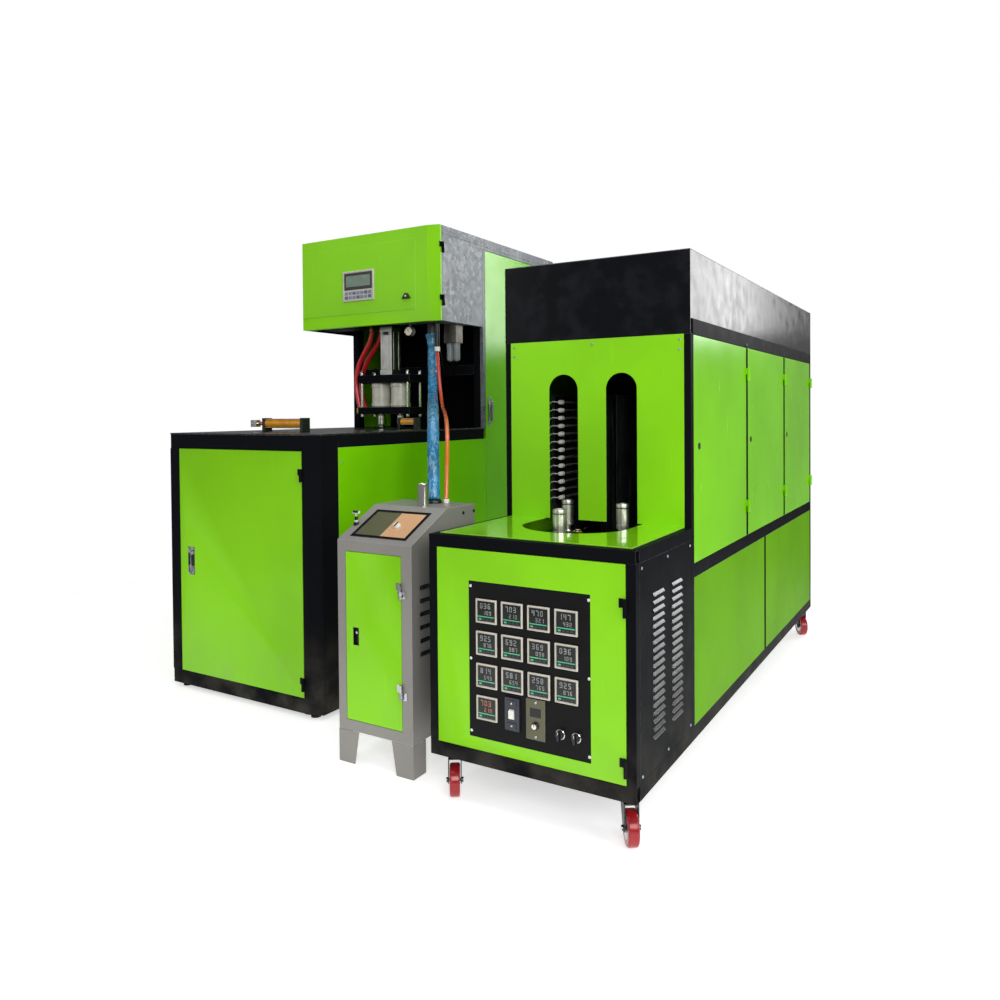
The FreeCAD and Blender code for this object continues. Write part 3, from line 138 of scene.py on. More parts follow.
class Shader:
    """Builds one material around a Principled shader."""

    def __init__(self, name: str) -> None:
        """Make an empty material of that name with its shader and output."""
        self.material = bpy.data.materials.new(name)
        self.material.use_nodes = True
        self.tree = self.material.node_tree
        self.tree.nodes.clear()
        self.surface = self.node("ShaderNodeBsdfPrincipled")
        self.node("ShaderNodeOutputMaterial", inputs={"Surface": self.surface.outputs[0]})
        self.place = self.node("ShaderNodeTexCoord").outputs["Object"]

    def node(self, kind: str, settings: dict[str, Any] | None = None, inputs: dict[Any, Any] | None = None) -> Any:
        """Add one node.

        Args:
            kind: The node's type.
            settings: Properties, set before the sockets; a ramp's "stops" are (place, colour) pairs.
            inputs: Numbers, colours, values or sockets by input name or index.

        Returns:
            The node.
        """
        node = self.tree.nodes.new(kind)
        for key, setting in (settings or {}).items():
            if key == "stops":
                elements = node.color_ramp.elements
                while len(elements) < len(setting):
                    elements.new(0.5)
                for element, (place, colour) in zip(elements, setting):
                    element.position = place
                    element.color = colour
            else:
                setattr(node, key, setting)
        for key, item in (inputs or {}).items():
            if isinstance(item, Value):
                item = item.socket
            if isinstance(item, bpy.types.NodeSocket):
                self.tree.links.new(item, node.inputs[key])
            else:
                node.inputs[key].default_value = item
        return node

    def set(self, **sockets: Any) -> "Shader":
        """Set or link sockets of the Principled shader, with _ for a space in their names."""
        for key, item in sockets.items():
            socket = self.surface.inputs[key.replace("_", " ")]
            if isinstance(item, Value):
                item = item.socket
            if isinstance(item, bpy.types.NodeSocket):
                self.tree.links.new(item, socket)
            else:
                socket.default_value = item
        return self

    def stretched(self, stretch: Point) -> bpy.types.NodeSocket:
        """Object coordinates scaled along each axis."""
        node = self.node("ShaderNodeMapping", inputs={"Vector": self.place, "Scale": stretch})
        return node.outputs[0]

    def height(self) -> Value:
        """Height above the floor in metres."""
        return Value(self, self.node("ShaderNodeSeparateXYZ", inputs={0: self.place}).outputs[2])

    def noise(self, scale: float, detail: float = 2.0, stretch: Point | None = None) -> Value:
        """Noise in object space.

        Args:
            scale: Features per metre.
            detail: Octaves.
            stretch: Scale along each axis, for grain.

        Returns:
            The noise, about 0.5 in the middle.
        """
        place = self.stretched(stretch) if stretch else self.place
        node = self.node("ShaderNodeTexNoise", inputs={"Vector": place, "Scale": scale, "Detail": detail})
        return Value(self, node.outputs[0])

    def cells(self, scale: float, output: str = "Distance", settings: dict[str, Any] | None = None) -> Value:
        """Cells in object space; output is Distance or Color."""
        node = self.node("ShaderNodeTexVoronoi", settings, {"Vector": self.place, "Scale": scale})
        return Value(self, node.outputs[output])

    def mark(self, name: str) -> Value:
        """A number painted on the mesh."""
        return Value(self, self.node("ShaderNodeAttribute", {"attribute_name": name}).outputs["Fac"])

    def blend(self, factor: Any, first: Any, second: Any) -> bpy.types.NodeSocket:
        """Mix two colours by a factor."""
        node = self.node("ShaderNodeMix", {"data_type": "RGBA"}, {0: factor, 6: first, 7: second})
        return node.outputs[2]

    def bump(self, relief: Value, depth: float) -> "Shader":
        """Raise the surface by relief, depth metres from 0 to 1."""
        node = self.node("ShaderNodeBump", inputs={"Height": relief, "Distance": depth, "Strength": 1.0})
        return self.set(Normal=node.outputs[0])


class Finish:
    """Base of every finish: makes its material once."""

    _made: dict["Finish", bpy.types.Material] = {}

    def material(self) -> bpy.types.Material:
        """The material, made at first use."""
        if self not in Finish._made:
            Finish._made[self] = self.build().material
        return Finish._made[self]

    def build(self) -> Shader:
        """Make the shader."""
        raise NotImplementedError


@dataclass(frozen=True)
class PowderCoat(Finish):
    """Sprayed and baked paint with orange peel, worn edges, and dust near the floor."""

    name: str
    colour: tuple[float, ...]
    roughness: float = 0.24
    peel: float = 0.00012
    wear: float = 0.5
    specular: float = 0.5
    coat: float = 0.0

    def build(self) -> Shader:
        """Make the shader."""
        shader = Shader(self.name)
        broad = shader.noise(1.7, 3.0)
        smudge = shader.noise(11.0, 5.0)
        scuff = shader.noise(34.0, 4.0, (1.0, 1.0, 0.16)).step(0.66, 0.74)
        worn = shader.mark("worn") * shader.noise(55.0, 3.0).step(0.30, 0.62) * self.wear
        tone = shader.blend(broad.step(0.3, 0.7), shade(self.colour, 0.90), shade(self.colour, 1.09))
        tone = shader.blend(scuff * 0.10, tone, shade(self.colour, 1.7))
        tone = shader.blend(worn, tone, shade((*[c * 0.6 + 0.22 for c in self.colour[:3]],), 1.0))
        dust = (1.0 - shader.height().step(0.02, 0.42)) * shader.noise(7.0, 4.0).step(0.35, 0.75) * 0.22
        tone = shader.blend(dust, tone, linear(132, 126, 112))
        rough = self.roughness + (smudge - 0.5) * 0.22 + dust * 0.8 + scuff * 0.08
        grain = shader.noise(330.0, 2.0) + shader.noise(95.0, 1.0) * 0.6
        shader.set(Base_Color=tone, Roughness=rough, Specular_IOR_Level=self.specular)
        if self.coat:
            shader.set(Coat_Weight=self.coat, Coat_Roughness=0.06)
        return shader.bump(grain, self.peel)


@dataclass(frozen=True)
class HammeredCoat(Finish):
    """Black paint over a coarse hammered ground that breaks reflections up."""

    name: str
    colour: tuple[float, ...]
    roughness: float = 0.2
    depth: float = 0.00012

    def build(self) -> Shader:
        """Make the shader."""
        shader = Shader(self.name)
        patches = shader.noise(16.0, 6.0)
        blisters = shader.cells(62.0, settings={"feature": "SMOOTH_F1"})
        tone = shader.blend(patches.step(0.42, 0.68), self.colour, shade(self.colour, 1.8))
        tone = shader.blend(shader.mark("worn") * 0.5, tone, linear(120, 122, 126))
        shader.set(Base_Color=tone, Roughness=self.roughness + (patches - 0.5) * 0.3, Specular_IOR_Level=0.07)
        return shader.bump(blisters * 0.5 + patches * 0.9 + shader.noise(240.0, 2.0) * 0.12, self.depth)


@dataclass(frozen=True)
class Galvanised(Finish):
    """Zinc-coated sheet with spangles and mottled patches."""

    name: str = "galvanised_sheet"
    colour: tuple[float, ...] = linear(152, 158, 170)
    metal: float = 0.78
    dull: float = 0.30

    def build(self) -> Shader:
        """Make the shader."""
        shader = Shader(self.name)
        spangle = shader.cells(48.0, "Color")
        small = shader.cells(130.0, "Color")
        patch = shader.noise(9.0, 5.0)
        mask = (spangle * 0.45 + small * 0.2 + patch * 0.6).step(0.3, 0.85)
        tone = shader.blend(mask, shade(self.colour, 0.55), shade(self.colour, 1.35))
        streak = shader.noise(20.0, 4.0, (1.0, 1.0, 0.12)).step(0.52, 0.78)
        tone = shader.blend(streak * 0.35, tone, linear(222, 226, 232))
        shader.set(Base_Color=tone, Metallic=self.metal, Roughness=self.dull + spangle * 0.22 + streak * 0.1)
        return shader.bump(spangle * 0.4 + shader.noise(60.0, 3.0), 0.0004)


@dataclass(frozen=True)
class Metal(Finish):
    """Bare metal with machining marks."""

    name: str
    colour: tuple[float, ...]
    roughness: float = 0.26
    grain: Point = (1.0, 1.0, 14.0)
    marks: float = 0.00006
    stain: float = 0.25

    def build(self) -> Shader:
        """Make the shader."""
        shader = Shader(self.name)
        lines = shader.noise(90.0, 3.0, self.grain)
        blot = shader.noise(23.0, 5.0)
        tone = shader.blend(lines.step(0.3, 0.7), shade(self.colour, 0.86), shade(self.colour, 1.08))
        tone = shader.blend(blot.step(0.5, 0.85) * self.stain, tone, shade(self.colour, 0.35))
        tone = shader.blend(shader.mark("worn") * 0.4, tone, shade(self.colour, 1.5))
        rough = self.roughness + (lines - 0.5) * 0.16 + (blot - 0.5) * 0.2
        shader.set(Base_Color=tone, Metallic=1.0, Roughness=rough)
        return shader.bump(lines, self.marks)


@dataclass(frozen=True)
class Plastic(Finish):
    """Moulded plastic or rubber with a fine grain."""

    name: str
    colour: tuple[float, ...]
    roughness: float = 0.42
    grain: float = 0.00005
    specular: float = 0.5

    def build(self) -> Shader:
        """Make the shader."""
        shader = Shader(self.name)
        speck = shader.noise(480.0, 2.0)
        cloud = shader.noise(18.0, 4.0)
        tone = shader.blend(cloud.step(0.3, 0.75), shade(self.colour, 0.88), shade(self.colour, 1.12))
        tone = shader.blend(shader.mark("worn") * 0.35, tone, shade(self.colour, 1.6))
        shader.set(Base_Color=tone, Roughness=self.roughness + (cloud - 0.5) * 0.2)
        shader.set(Specular_IOR_Level=self.specular)
        return shader.bump(speck, self.grain)


@dataclass(frozen=True)
class TintedClear(Finish):
    """Cast or tinted see-through plastic and glass."""

    name: str
    colour: tuple[float, ...]
    roughness: float = 0.12
    clear: float = 0.6
    ior: float = 1.48

    def build(self) -> Shader:
        """Make the shader."""
        shader = Shader(self.name)
        cloud = shader.noise(40.0, 4.0)
        tone = shader.blend(cloud.step(0.25, 0.8), shade(self.colour, 0.8), shade(self.colour, 1.15))
        shader.set(Base_Color=tone, Roughness=self.roughness + (cloud - 0.5) * 0.12)
        shader.set(Transmission_Weight=self.clear, IOR=self.ior)
        return shader.bump(shader.noise(160.0, 2.0), 0.00008)


@dataclass(frozen=True)
class WrinkledFilm(Finish):
    """Blue hose under creased clear wrap: white highlights run along the creases."""

    name: str = "blue_wrapped_hose"
    colour: tuple[float, ...] = linear(12, 126, 176)

    def build(self) -> Shader:
        """Make the shader."""
        shader = Shader(self.name)
        crease = shader.noise(58.0, 5.0, (1.0, 1.0, 0.30))
        ridge = (1.0 - (crease - 0.5) * (crease - 0.5) * 90.0).step(0.55, 1.0)
        patch = shader.noise(13.0, 3.0).step(0.35, 0.7)
        tone = shader.blend(patch, shade(self.colour, 0.72), shade(self.colour, 1.15))
        tone = shader.blend(ridge * shader.noise(31.0, 2.0).step(0.42, 0.62) * 0.3, tone, linear(190, 226, 244))
        shader.set(Base_Color=tone, Roughness=0.26 + ridge * 0.2, Coat_Weight=0.6, Coat_Roughness=0.1)
        return shader.bump(crease + ridge * 0.4, 0.0035)


@dataclass(frozen=True)
class AgedTube(Finish):
    """Air tube whose red fades to orange towards its lower end."""

    name: str = "red_air_tube"
    upper: tuple[float, ...] = linear(196, 52, 44)
    lower: tuple[float, ...] = linear(222, 112, 46)

    def build(self) -> Shader:
        """Make the shader."""
        shader = Shader(self.name)
        tone = shader.blend(shader.height().step(1.02, 1.42), self.lower, self.upper)
        cloud = shader.noise(30.0, 4.0)
        tone = shader.blend(cloud.step(0.55, 0.8) * 0.3, tone, linear(240, 170, 140))
        shader.set(Base_Color=tone, Roughness=0.22 + (cloud - 0.5) * 0.2, Coat_Weight=0.3, Coat_Roughness=0.08)
        return shader.bump(shader.noise(140.0, 2.0), 0.00015)


@dataclass(frozen=True)
class LitGlass(Finish):
    """Dark display glass whose face glows a little, in stripes like a liquid-crystal cell."""

    name: str
    colour: tuple[float, ...]
    glow: float = 0.0

    def build(self) -> Shader:
        """Make the shader."""
        shader = Shader(self.name)
        cells = shader.noise(900.0, 1.0)
        haze = shader.noise(26.0, 3.0)
        tone = shader.blend(haze.step(0.3, 0.8), shade(self.colour, 0.75), shade(self.colour, 1.15))
        shader.set(Base_Color=tone, Roughness=0.12 + haze * 0.16, Coat_Weight=0.4)
        if self.glow:
            shader.set(Emission_Color=tone, Emission_Strength=self.glow)
        return shader.bump(cells, 0.00002)


@dataclass(frozen=True)
class FloorPaint(Finish):
    """Pale sealed floor."""

    name: str = "pale_floor"

    def build(self) -> Shader:
        """Make the shader."""
        shader = Shader(self.name)
        cloud = shader.noise(0.7, 4.0)
        tone = shader.blend(cloud.step(0.2, 0.9), (0.88, 0.88, 0.88, 1.0), (0.93, 0.93, 0.93, 1.0))
        reach = shader.node("ShaderNodeVectorMath", {"operation": "LENGTH"}, {0: shader.place})
        fade = 1.0 - Value(shader, reach.outputs["Value"]).step(2.4, 3.8)
        shader.set(Base_Color=tone, Roughness=0.62 + cloud * 0.1, Specular_IOR_Level=0.2, Alpha=fade)
        shader.set(Emission_Color=(1.0, 1.0, 1.0, 1.0), Emission_Strength=0.55)
        return shader.bump(shader.noise(60.0, 3.0), 0.0001)


LIME = linear(132, 208, 14)
BLACK = linear(17, 18, 22)

FRONT_GREEN = PowderCoat("lime_powder_coat", LIME, roughness=0.36, specular=0.3)
# Darker copies of the lime paint for the side sheets, the side doors and the column door: painted shade of the faces
# turned away from the key light.
SHADED_SIDE_GREEN = PowderCoat("lime_side_coat_painted_shade", linear(120, 200, 8), roughness=0.2, specular=0.12)
SHADED_COLUMN_GREEN = PowderCoat("lime_column_coat_painted_shade", linear(118, 198, 10), roughness=0.12, specular=0.26)
# Darker, duller copy of the lime paint for the oven sheets under the table: painted shade.
SHADED_LOWER_GREEN = PowderCoat("lime_lower_coat_painted_shade", linear(98, 158, 5), roughness=0.5, specular=0.03)
# Lighter, clear-coated copy of the lime paint for the loading table's top: painted light.
LIT_TABLE_GREEN = PowderCoat("lime_table_coat_painted_light", linear(138, 214, 22), roughness=0.12, peel=0.00005, coat=0.5)
FRAME_BLACK = PowderCoat("black_frame_coat", BLACK, roughness=0.45, specular=0.015, wear=0.3)
SHEET_BLACK = PowderCoat("black_sheet_coat", linear(17, 18, 22), roughness=0.45, specular=0.015, wear=0.25)
TABLE_BLACK = PowderCoat("black_table_coat", linear(20, 21, 25), roughness=0.25, specular=0.3, wear=0.4)
HOOD_BLACK = HammeredCoat("black_hood_coat", linear(17, 18, 21))
CABINET_GREY = PowderCoat("warm_grey_coat", linear(134, 131, 127), roughness=0.36, wear=0.3)
# Lighter grey than the black sheet the louvre lips are pressed from: painted highlight on the lips.
LIT_LOUVRE_GREY = PowderCoat("louvre_lip_painted_highlight", linear(34, 35, 38), roughness=0.3, wear=1.0)
OLIVE = PowderCoat("olive_panel_coat", linear(84, 84, 58), roughness=0.3)
PEACH = PowderCoat("peach_panel_coat", linear(206, 160, 118), roughness=0.3)
# Dull near-black for the head's inner wall and for painted shadow: the strips at the sheet seams and door edges, and
# the end plates of the lamp reflectors.
INNER_AND_SHADOW_BLACK = PowderCoat("dull_black_inner_and_painted_shadow", linear(12, 12, 14), roughness=0.6, specular=0.02, wear=0.0)
ZINC = Galvanised()
HEAD_ZINC = Galvanised("galvanised_head_side", linear(88, 94, 100), 0.10, 0.24)
STEEL = Metal("machined_steel", linear(186, 188, 190), roughness=0.2)
TURNED = Metal("turned_steel", linear(214, 212, 206), roughness=0.16, grain=(0.4, 0.4, 18.0), stain=0.12)
SATIN_ALUMINIUM = Metal("satin_aluminium", linear(176, 176, 172), roughness=0.34, grain=(10.0, 10.0, 0.5))
CREAM_BARREL = Plastic("cylinder_barrel", linear(208, 206, 192), 0.24, 0.00002, 0.8)
CAST_GREY = Metal("cast_manifold", linear(132, 128, 122), roughness=0.5, grain=(1.0, 1.0, 1.0), stain=0.6)
MANDREL = Metal("mandrel_steel", linear(228, 226, 214), roughness=0.34, grain=(0.4, 0.4, 18.0), stain=0.05)
# Darkened copy of the zinc for the lamp reflectors: painted shade inside the oven arch.
SHADED_LAMP_ZINC = Galvanised("lamp_reflector_zinc_painted_shade", linear(44, 46, 50), 0.5, 0.34)
BRASS = Metal("brass", linear(190, 150, 84), roughness=0.26)
OILED_STEEL = Metal("oiled_steel", linear(70, 70, 72), roughness=0.38, stain=0.5)
BLACK_PLASTIC = Plastic("black_plastic", linear(18, 18, 19), 0.38)
DARK_PANEL = Plastic("instrument_panel", linear(17, 17, 19), 0.46, specular=0.12)
BEZEL = Plastic("controller_bezel", linear(196, 190, 178), 0.4)
METER_FACE = Plastic("controller_face", linear(14, 18, 17), 0.25)
BREAKER_GREY = Plastic("breaker_grey", linear(48, 50, 60), 0.4)
WHITE_PLASTIC = Plastic("white_plastic", linear(226, 226, 220), 0.34)
CREAM_PLASTIC = Plastic("cream_hub", linear(214, 204, 186), 0.36)
CERAMIC = Plastic("lamp_ceramic", linear(226, 222, 212), 0.5, 0.0001)
WIRE_WHITE = Plastic("lamp_wire", linear(196, 196, 194), 0.5)
KEY_GREY = Plastic("key_grey", linear(122, 132, 148), 0.45)
KEY_BLUE = Plastic("key_blue", linear(84, 100, 132), 0.45)
DIGIT_GREY = LitGlass("digit_grey", linear(150, 154, 152), 0.15)
DIGIT_WARM = LitGlass("digit_warm", linear(176, 110, 84), 0.3)
STRIP_GREEN = LitGlass("strip_green", linear(66, 178, 128), 0.2)
LCD = LitGlass("display_cell", linear(92, 116, 98), 0.05)
RED_HOSE = Plastic("red_hose", linear(206, 28, 40), 0.2, 0.00003, 0.7)
RED_RUBBER = TintedClear("red_wheel_tread", linear(178, 34, 40), 0.2, 0.35)
AMBER = TintedClear("amber_barrel", linear(240, 164, 28), 0.14, 0.12)
QUARTZ = TintedClear("lamp_quartz", linear(236, 230, 216), 0.05, 0.85)
BOWL = TintedClear("filter_bowl", linear(176, 180, 186), 0.2, 0.45)
WRAP = WrinkledFilm()
TUBE_RED = AgedTube()


def absorb(target: Mesh, part: Mesh) -> None:
    """Add one bmesh to another and free it."""
    carrier = bpy.data.meshes.new("carrier")
    part.to_mesh(carrier)
    part.free()
    target.from_mesh(carrier)
    bpy.data.meshes.remove(carrier)


def soften(part: Mesh, edges: Iterable[Any], width: float, segments: int = 2) -> None:
    """Bevel edges and paint the new faces as worn.

    Args:
        part: The bmesh that holds the edges.
        edges: The edges to round.
        width: Width of the rounding in metres.
        segments: Faces across the rounding.
    """
    chosen = list(edges)
    if not chosen or width <= 0:
        return
    worn = part.loops.layers.float.get("worn") or part.loops.layers.float.new("worn")
    made = bmesh.ops.bevel(
        part, geom=chosen, offset=width, offset_type="OFFSET", affect="EDGES", segments=segments,
        profile=0.5, material=-1, clamp_overlap=True,
    )
    for face in made["faces"]:
        for corner in face.loops:
            corner[worn] = 1.0


def block(low: Point, high: Point, edge: float = 0.0, segments: int = 2) -> Mesh:
    """Box between two corners with rounded edges.

    Args:
        low: Lowest corner.
        high: Highest corner.
        edge: Width of the rounding.
        segments: Faces across the rounding.

    Returns:
        The bmesh.
    """
    part = bmesh.new()
    bmesh.ops.create_cube(part, size=1.0)
    size = [max(abs(b - a), 1e-6) for a, b in zip(low, high)]
    bmesh.ops.scale(part, vec=size, verts=part.verts)
    bmesh.ops.translate(part, vec=[(a + b) / 2 for a, b in zip(low, high)], verts=part.verts)
    soften(part, part.edges[:], edge, segments)
    return part


def towards(axis: Point, place: Point) -> Matrix:
    """Matrix that turns +Z to an axis and moves the origin to a place."""
    turn = Vector((0.0, 0.0, 1.0)).rotation_difference(Vector(axis)).to_matrix().to_4x4()
    return Matrix.Translation(Vector(place)) @ turn


def disc(place: Point, axis: Point, radius: float, length: float, edge: float = 0.0, sides: int = 32) -> Mesh:
    """Round bar that starts at a place and runs along an axis.

    Args:
        place: Middle of the first face.
        axis: Direction.
        radius: Radius.
        length: Length.
        edge: Rounding of both rims.
        sides: Faces round it.

    Returns:
        The bmesh.
    """
    part = bmesh.new()
    bmesh.ops.create_cone(part, cap_ends=True, segments=sides, radius1=radius, radius2=radius, depth=length)
    bmesh.ops.translate(part, vec=(0, 0, length / 2), verts=part.verts)
    rims = [e for e in part.edges if abs(e.verts[0].co.z - e.verts[1].co.z) < 1e-7]
    soften(part, rims, edge)
    bmesh.ops.transform(part, matrix=towards(axis, place), verts=part.verts)
    return part


def lathe(profile: Sequence[tuple[float, float]], place: Point, axis: Point = (0, 0, 1), sides: int = 40) -> Mesh:
    """Spin a profile round an axis.

    Args:
        profile: (radius, height) corners in metres, from one end to the other.
        place: Where height 0 lies.
        axis: Direction of height.
        sides: Faces round it.

    Returns:
        The bmesh.
    """
    part = bmesh.new()
    corners = [part.verts.new((radius, 0.0, height)) for radius, height in profile]
    edges = [part.edges.new(pair) for pair in zip(corners, corners[1:])]
    bmesh.ops.spin(
        part, geom=corners + edges, cent=(0, 0, 0), axis=(0, 0, 1), angle=math.tau, steps=sides, use_merge=True
    )
    bmesh.ops.remove_doubles(part, verts=part.verts, dist=1e-6)
    bmesh.ops.recalc_face_normals(part, faces=part.faces)
    bmesh.ops.transform(part, matrix=towards(axis, place), verts=part.verts)
    return part


def slab(outline: Sequence[tuple[float, float]], place: Point, across: Point, up: Point, depth: float,
         edge: float = 0.0) -> Mesh:
    """Flat plate cut to an outline.

    Args:
        outline: Corners as (across, up) in metres.
        place: Where (0, 0) lies.
        across: Direction of the first number.
        up: Direction of the second number.
        depth: Thickness, along across x up.
        edge: Rounding of every edge.

    Returns:
        The bmesh.
    """
    part = bmesh.new()
    side, rise = Vector(across).normalized(), Vector(up).normalized()
    start = Vector(place)
    face = part.faces.new([part.verts.new(start + side * u + rise * v) for u, v in outline])
    raised = bmesh.ops.extrude_face_region(part, geom=[face])
    moved = [item for item in raised["geom"] if isinstance(item, bmesh.types.BMVert)]
    bmesh.ops.translate(part, vec=side.cross(rise) * depth, verts=moved)
    if not face.is_valid or len(part.faces) == len(outline) + 1:
        part.faces.new([v for v in part.verts if v not in moved])
    bmesh.ops.recalc_face_normals(part, faces=part.faces)
    soften(part, part.edges[:], edge)
    return part


def tube_along(points: Sequence[Point], radius: float, sides: int = 8, cyclic: bool = False) -> Mesh:
    """Round tube along a smooth line.

    Args:
        points: Control points of the line.
        radius: Radius of the tube.
        sides: Even number of faces round it.
        cyclic: Whether the line closes on itself.

    Returns:
        The bmesh.
    """
    line = spline("tube", points, radius, max(0, sides // 2 - 2), cyclic)
    mesh = bpy.data.meshes.new_from_object(line)
    part = bmesh.new()
    part.from_mesh(mesh)
    bmesh.ops.remove_doubles(part, verts=part.verts, dist=1e-6)
    bmesh.ops.recalc_face_normals(part, faces=part.faces)
    bpy.data.meshes.remove(mesh)
    curve = line.data
    bpy.data.objects.remove(line)
    bpy.data.curves.remove(curve)
    return part


def spline(name: str, points: Sequence[Point], radius: float, resolution: int, cyclic: bool = False) -> Any:
    """Smooth curve object through control points.

    Args:
        name: Name of the object.
        points: Control points in metres.
        radius: Radius of the round section, or 0 for the bare line.
        resolution: Fineness of the section.
        cyclic: Whether the line closes on itself.

    Returns:
        The curve object, in the scene.
    """
    curve = bpy.data.curves.new(name, "CURVE")
    curve.dimensions = "3D"
    curve.bevel_depth = radius
    curve.bevel_resolution = resolution
    curve.resolution_u = 8
    curve.use_fill_caps = not cyclic
    line = curve.splines.new("NURBS")
    line.points.add(len(points) - 1)
    for control, point in zip(line.points, points):
        control.co = (*point, 1.0)
    line.order_u = 3
    line.use_endpoint_u = not cyclic
    line.use_cyclic_u = cyclic
    made = bpy.data.objects.new(name, curve)
    bpy.context.scene.collection.objects.link(made)
    return made


class CadPart:
    """A copy of one CAD node, split into its solids and with its edges rounded."""

    def __init__(self, node: str) -> None:
        """Merge the node's loose triangles and find its solids."""
        self.mesh = bmesh.new()
        self.mesh.from_mesh(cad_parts[node].data)
        bmesh.ops.remove_doubles(self.mesh, verts=self.mesh.verts, dist=2e-6)
        self.solids = self._find_solids()

    def _find_solids(self) -> list[list[Any]]:
        """Group faces that meet at clean edges."""
        left = set(self.mesh.faces)
        solids = []
        while left:
            stack = [left.pop()]
            group = []
            while stack:
                face = stack.pop()
                group.append(face)
                for edge in face.edges:
                    if len(edge.link_faces) == 2:
                        for other in edge.link_faces:
                            if other in left:
                                left.discard(other)
                                stack.append(other)
            solids.append(group)
        return solids

    def dress(self, choose: Callable[[Vector, Vector], int]) -> None:
        """Give each solid the material number that choose returns for its lowest and highest corners."""
        for group in self.solids:
            corners = [v.co for face in group for v in face.verts]
            low = Vector([min(c[i] for c in corners) for i in range(3)])
            high = Vector([max(c[i] for c in corners) for i in range(3)])
            number = choose(low, high)
            for face in group:
                face.material_index = number

    def finish(self, wide: float, fine: float) -> Mesh:
        """Split the solids, clear their triangles and round their edges.

        Args:
            wide: Rounding where both faces are broad.
            fine: Rounding on thin edges.

        Returns:
            The bmesh.
        """
        part = self.mesh
        if len(self.solids) > 1:
            for group in self.solids:
                bmesh.ops.split(part, geom=group)
        bmesh.ops.dissolve_limit(
            part, angle_limit=math.radians(0.6), use_dissolve_boundaries=False, verts=part.verts, edges=part.edges
        )
        broad, thin = [], []
        for edge in part.edges:
            if len(edge.link_faces) != 2 or edge.calc_face_angle_signed(0.0) < math.radians(38):
                continue
            reach = min(face.calc_area() for face in edge.link_faces) / max(edge.calc_length(), 1e-6)
            (broad if reach > wide * 5 else thin).append(edge)
        soften(part, thin, fine, 1)
        soften(part, [e for e in broad if e.is_valid], wide, 2)
        return part


class Piece:
    """One object of the looks: parts with their finishes, on one CAD body."""

    def __init__(self, name: str, body: str, slot: str, replaces: Sequence[str] = ()) -> None:
        """Start a piece.

        Args:
            name: Name of the object.
            body: CAD body that it rides on.
            slot: Material slot of the record; not used.
            replaces: CAD nodes that it stands for.
        """
        self.name = name
        self.body = body
        self.slot = slot
        self.replaces = tuple(replaces)
        self.mesh = bmesh.new()
        self.finishes: list[Finish] = []

    def _number(self, finish: Finish) -> int:
        """Material number of a finish on this piece."""
        if finish not in self.finishes:
            self.finishes.append(finish)
        return self.finishes.index(finish)

    def add(self, finish: Finish, *parts: Mesh) -> "Piece":
        """Add parts in one finish."""
        number = self._number(finish)
        for part in parts:
            for face in part.faces:
                face.material_index = number
            absorb(self.mesh, part)
        return self

    def copy(self, node: str, choose: Finish | Callable[[Vector, Vector], Finish], wide: float = 1.6 * MM,
             fine: float = 0.4 * MM) -> "Piece":
        """Add a softened copy of a CAD node.

        Args:
            node: The node.
            choose: Its finish, or what gives each solid's finish from its lowest and highest corners.
            wide: Rounding between broad faces.
            fine: Rounding on thin edges.

        Returns:
            The piece.
        """
        part = CadPart(node)
        part.dress(lambda low, high: self._number(choose if isinstance(choose, Finish) else choose(low, high)))
        absorb(self.mesh, part.finish(wide, fine))
        return self

    def done(self, smooth: float = 40.0) -> bpy.types.Object:
        """Make the object.

        Args:
            smooth: Angle in degrees up to which faces shade as one.

        Returns:
            The object, riding on its body.
        """
        data = bpy.data.meshes.new(self.name)
        self.mesh.to_mesh(data)
        self.mesh.free()
        for finish in self.finishes:
            data.materials.append(finish.material())
        data.shade_smooth()
        data.set_sharp_from_angle(angle=math.radians(smooth))
        made = bpy.data.objects.new(self.name, data)
        bpy.context.scene.collection.objects.link(made)
        weighted = made.modifiers.new("weighted", "WEIGHTED_NORMAL")
        weighted.keep_sharp = True
        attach(made, self.body)
        if self.replaces:
            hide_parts(*self.replaces)
        LOG.info("%-26s %6d faces on %s", self.name, len(data.polygons), self.body)
        return made


@dataclass(frozen=True)
class Datum:
    """Front left foot print of one cabinet, in millimetres of the whole set."""

    x: float
    y: float

    def at(self, x: float, y: float, z: float) -> Point:
        """Point in metres for a place given in the cabinet's own millimetres."""
        return ((self.x + x) * MM, (self.y + y) * MM, z * MM)


OVEN = Datum(454, -1270)
PRESS = Datum(-1134, -1002)
AIR = Datum(26, -1216)
RIGHT: Point = (1.0, 0.0, 0.0)
BACK: Point = (0.0, 1.0, 0.0)
FRONT: Point = (0.0, -1.0, 0.0)
UP: Point = (0.0, 0.0, 1.0)
LEFT: Point = (-1.0, 0.0, 0.0)


def oven_box(x0: float, x1: float, y0: float, y1: float, z0: float, z1: float, edge: float = 0.0) -> Mesh:
    """Box in the oven's millimetres; edge is the rounding in millimetres."""
    return block(OVEN.at(x0, y0, z0), OVEN.at(x1, y1, z1), edge * MM)


def press_box(x0: float, x1: float, y0: float, y1: float, z0: float, z1: float, edge: float = 0.0) -> Mesh:
    """Box in the press's millimetres; edge is the rounding in millimetres."""
    return block(PRESS.at(x0, y0, z0), PRESS.at(x1, y1, z1), edge * MM)


def screw(place: Point, axis: Point, radius: float = 4.0) -> Mesh:
    """Pan head with a cross recess, radius in millimetres.

    Args:
        place: Where the head sits.
        axis: The way it faces.
        radius: Radius of the head.

    Returns:
        The bmesh.
    """
    r = radius * MM
    profile = [(0.0, 0.35 * r), (0.28 * r, 0.35 * r), (0.30 * r, 0.62 * r), (0.7 * r, 0.5 * r), (r, 0.2 * r), (r, 0.0)]
    return lathe(profile, place, axis, 16)


def hexagon(place: Point, axis: Point, radius: float, height: float) -> Mesh:
    """Hexagon head or nut with chamfered corners, in millimetres."""
    part = disc(place, axis, radius * MM, height * MM, 0.0, 6)
    soften(part, part.edges[:], 0.12 * radius * MM)
    return part


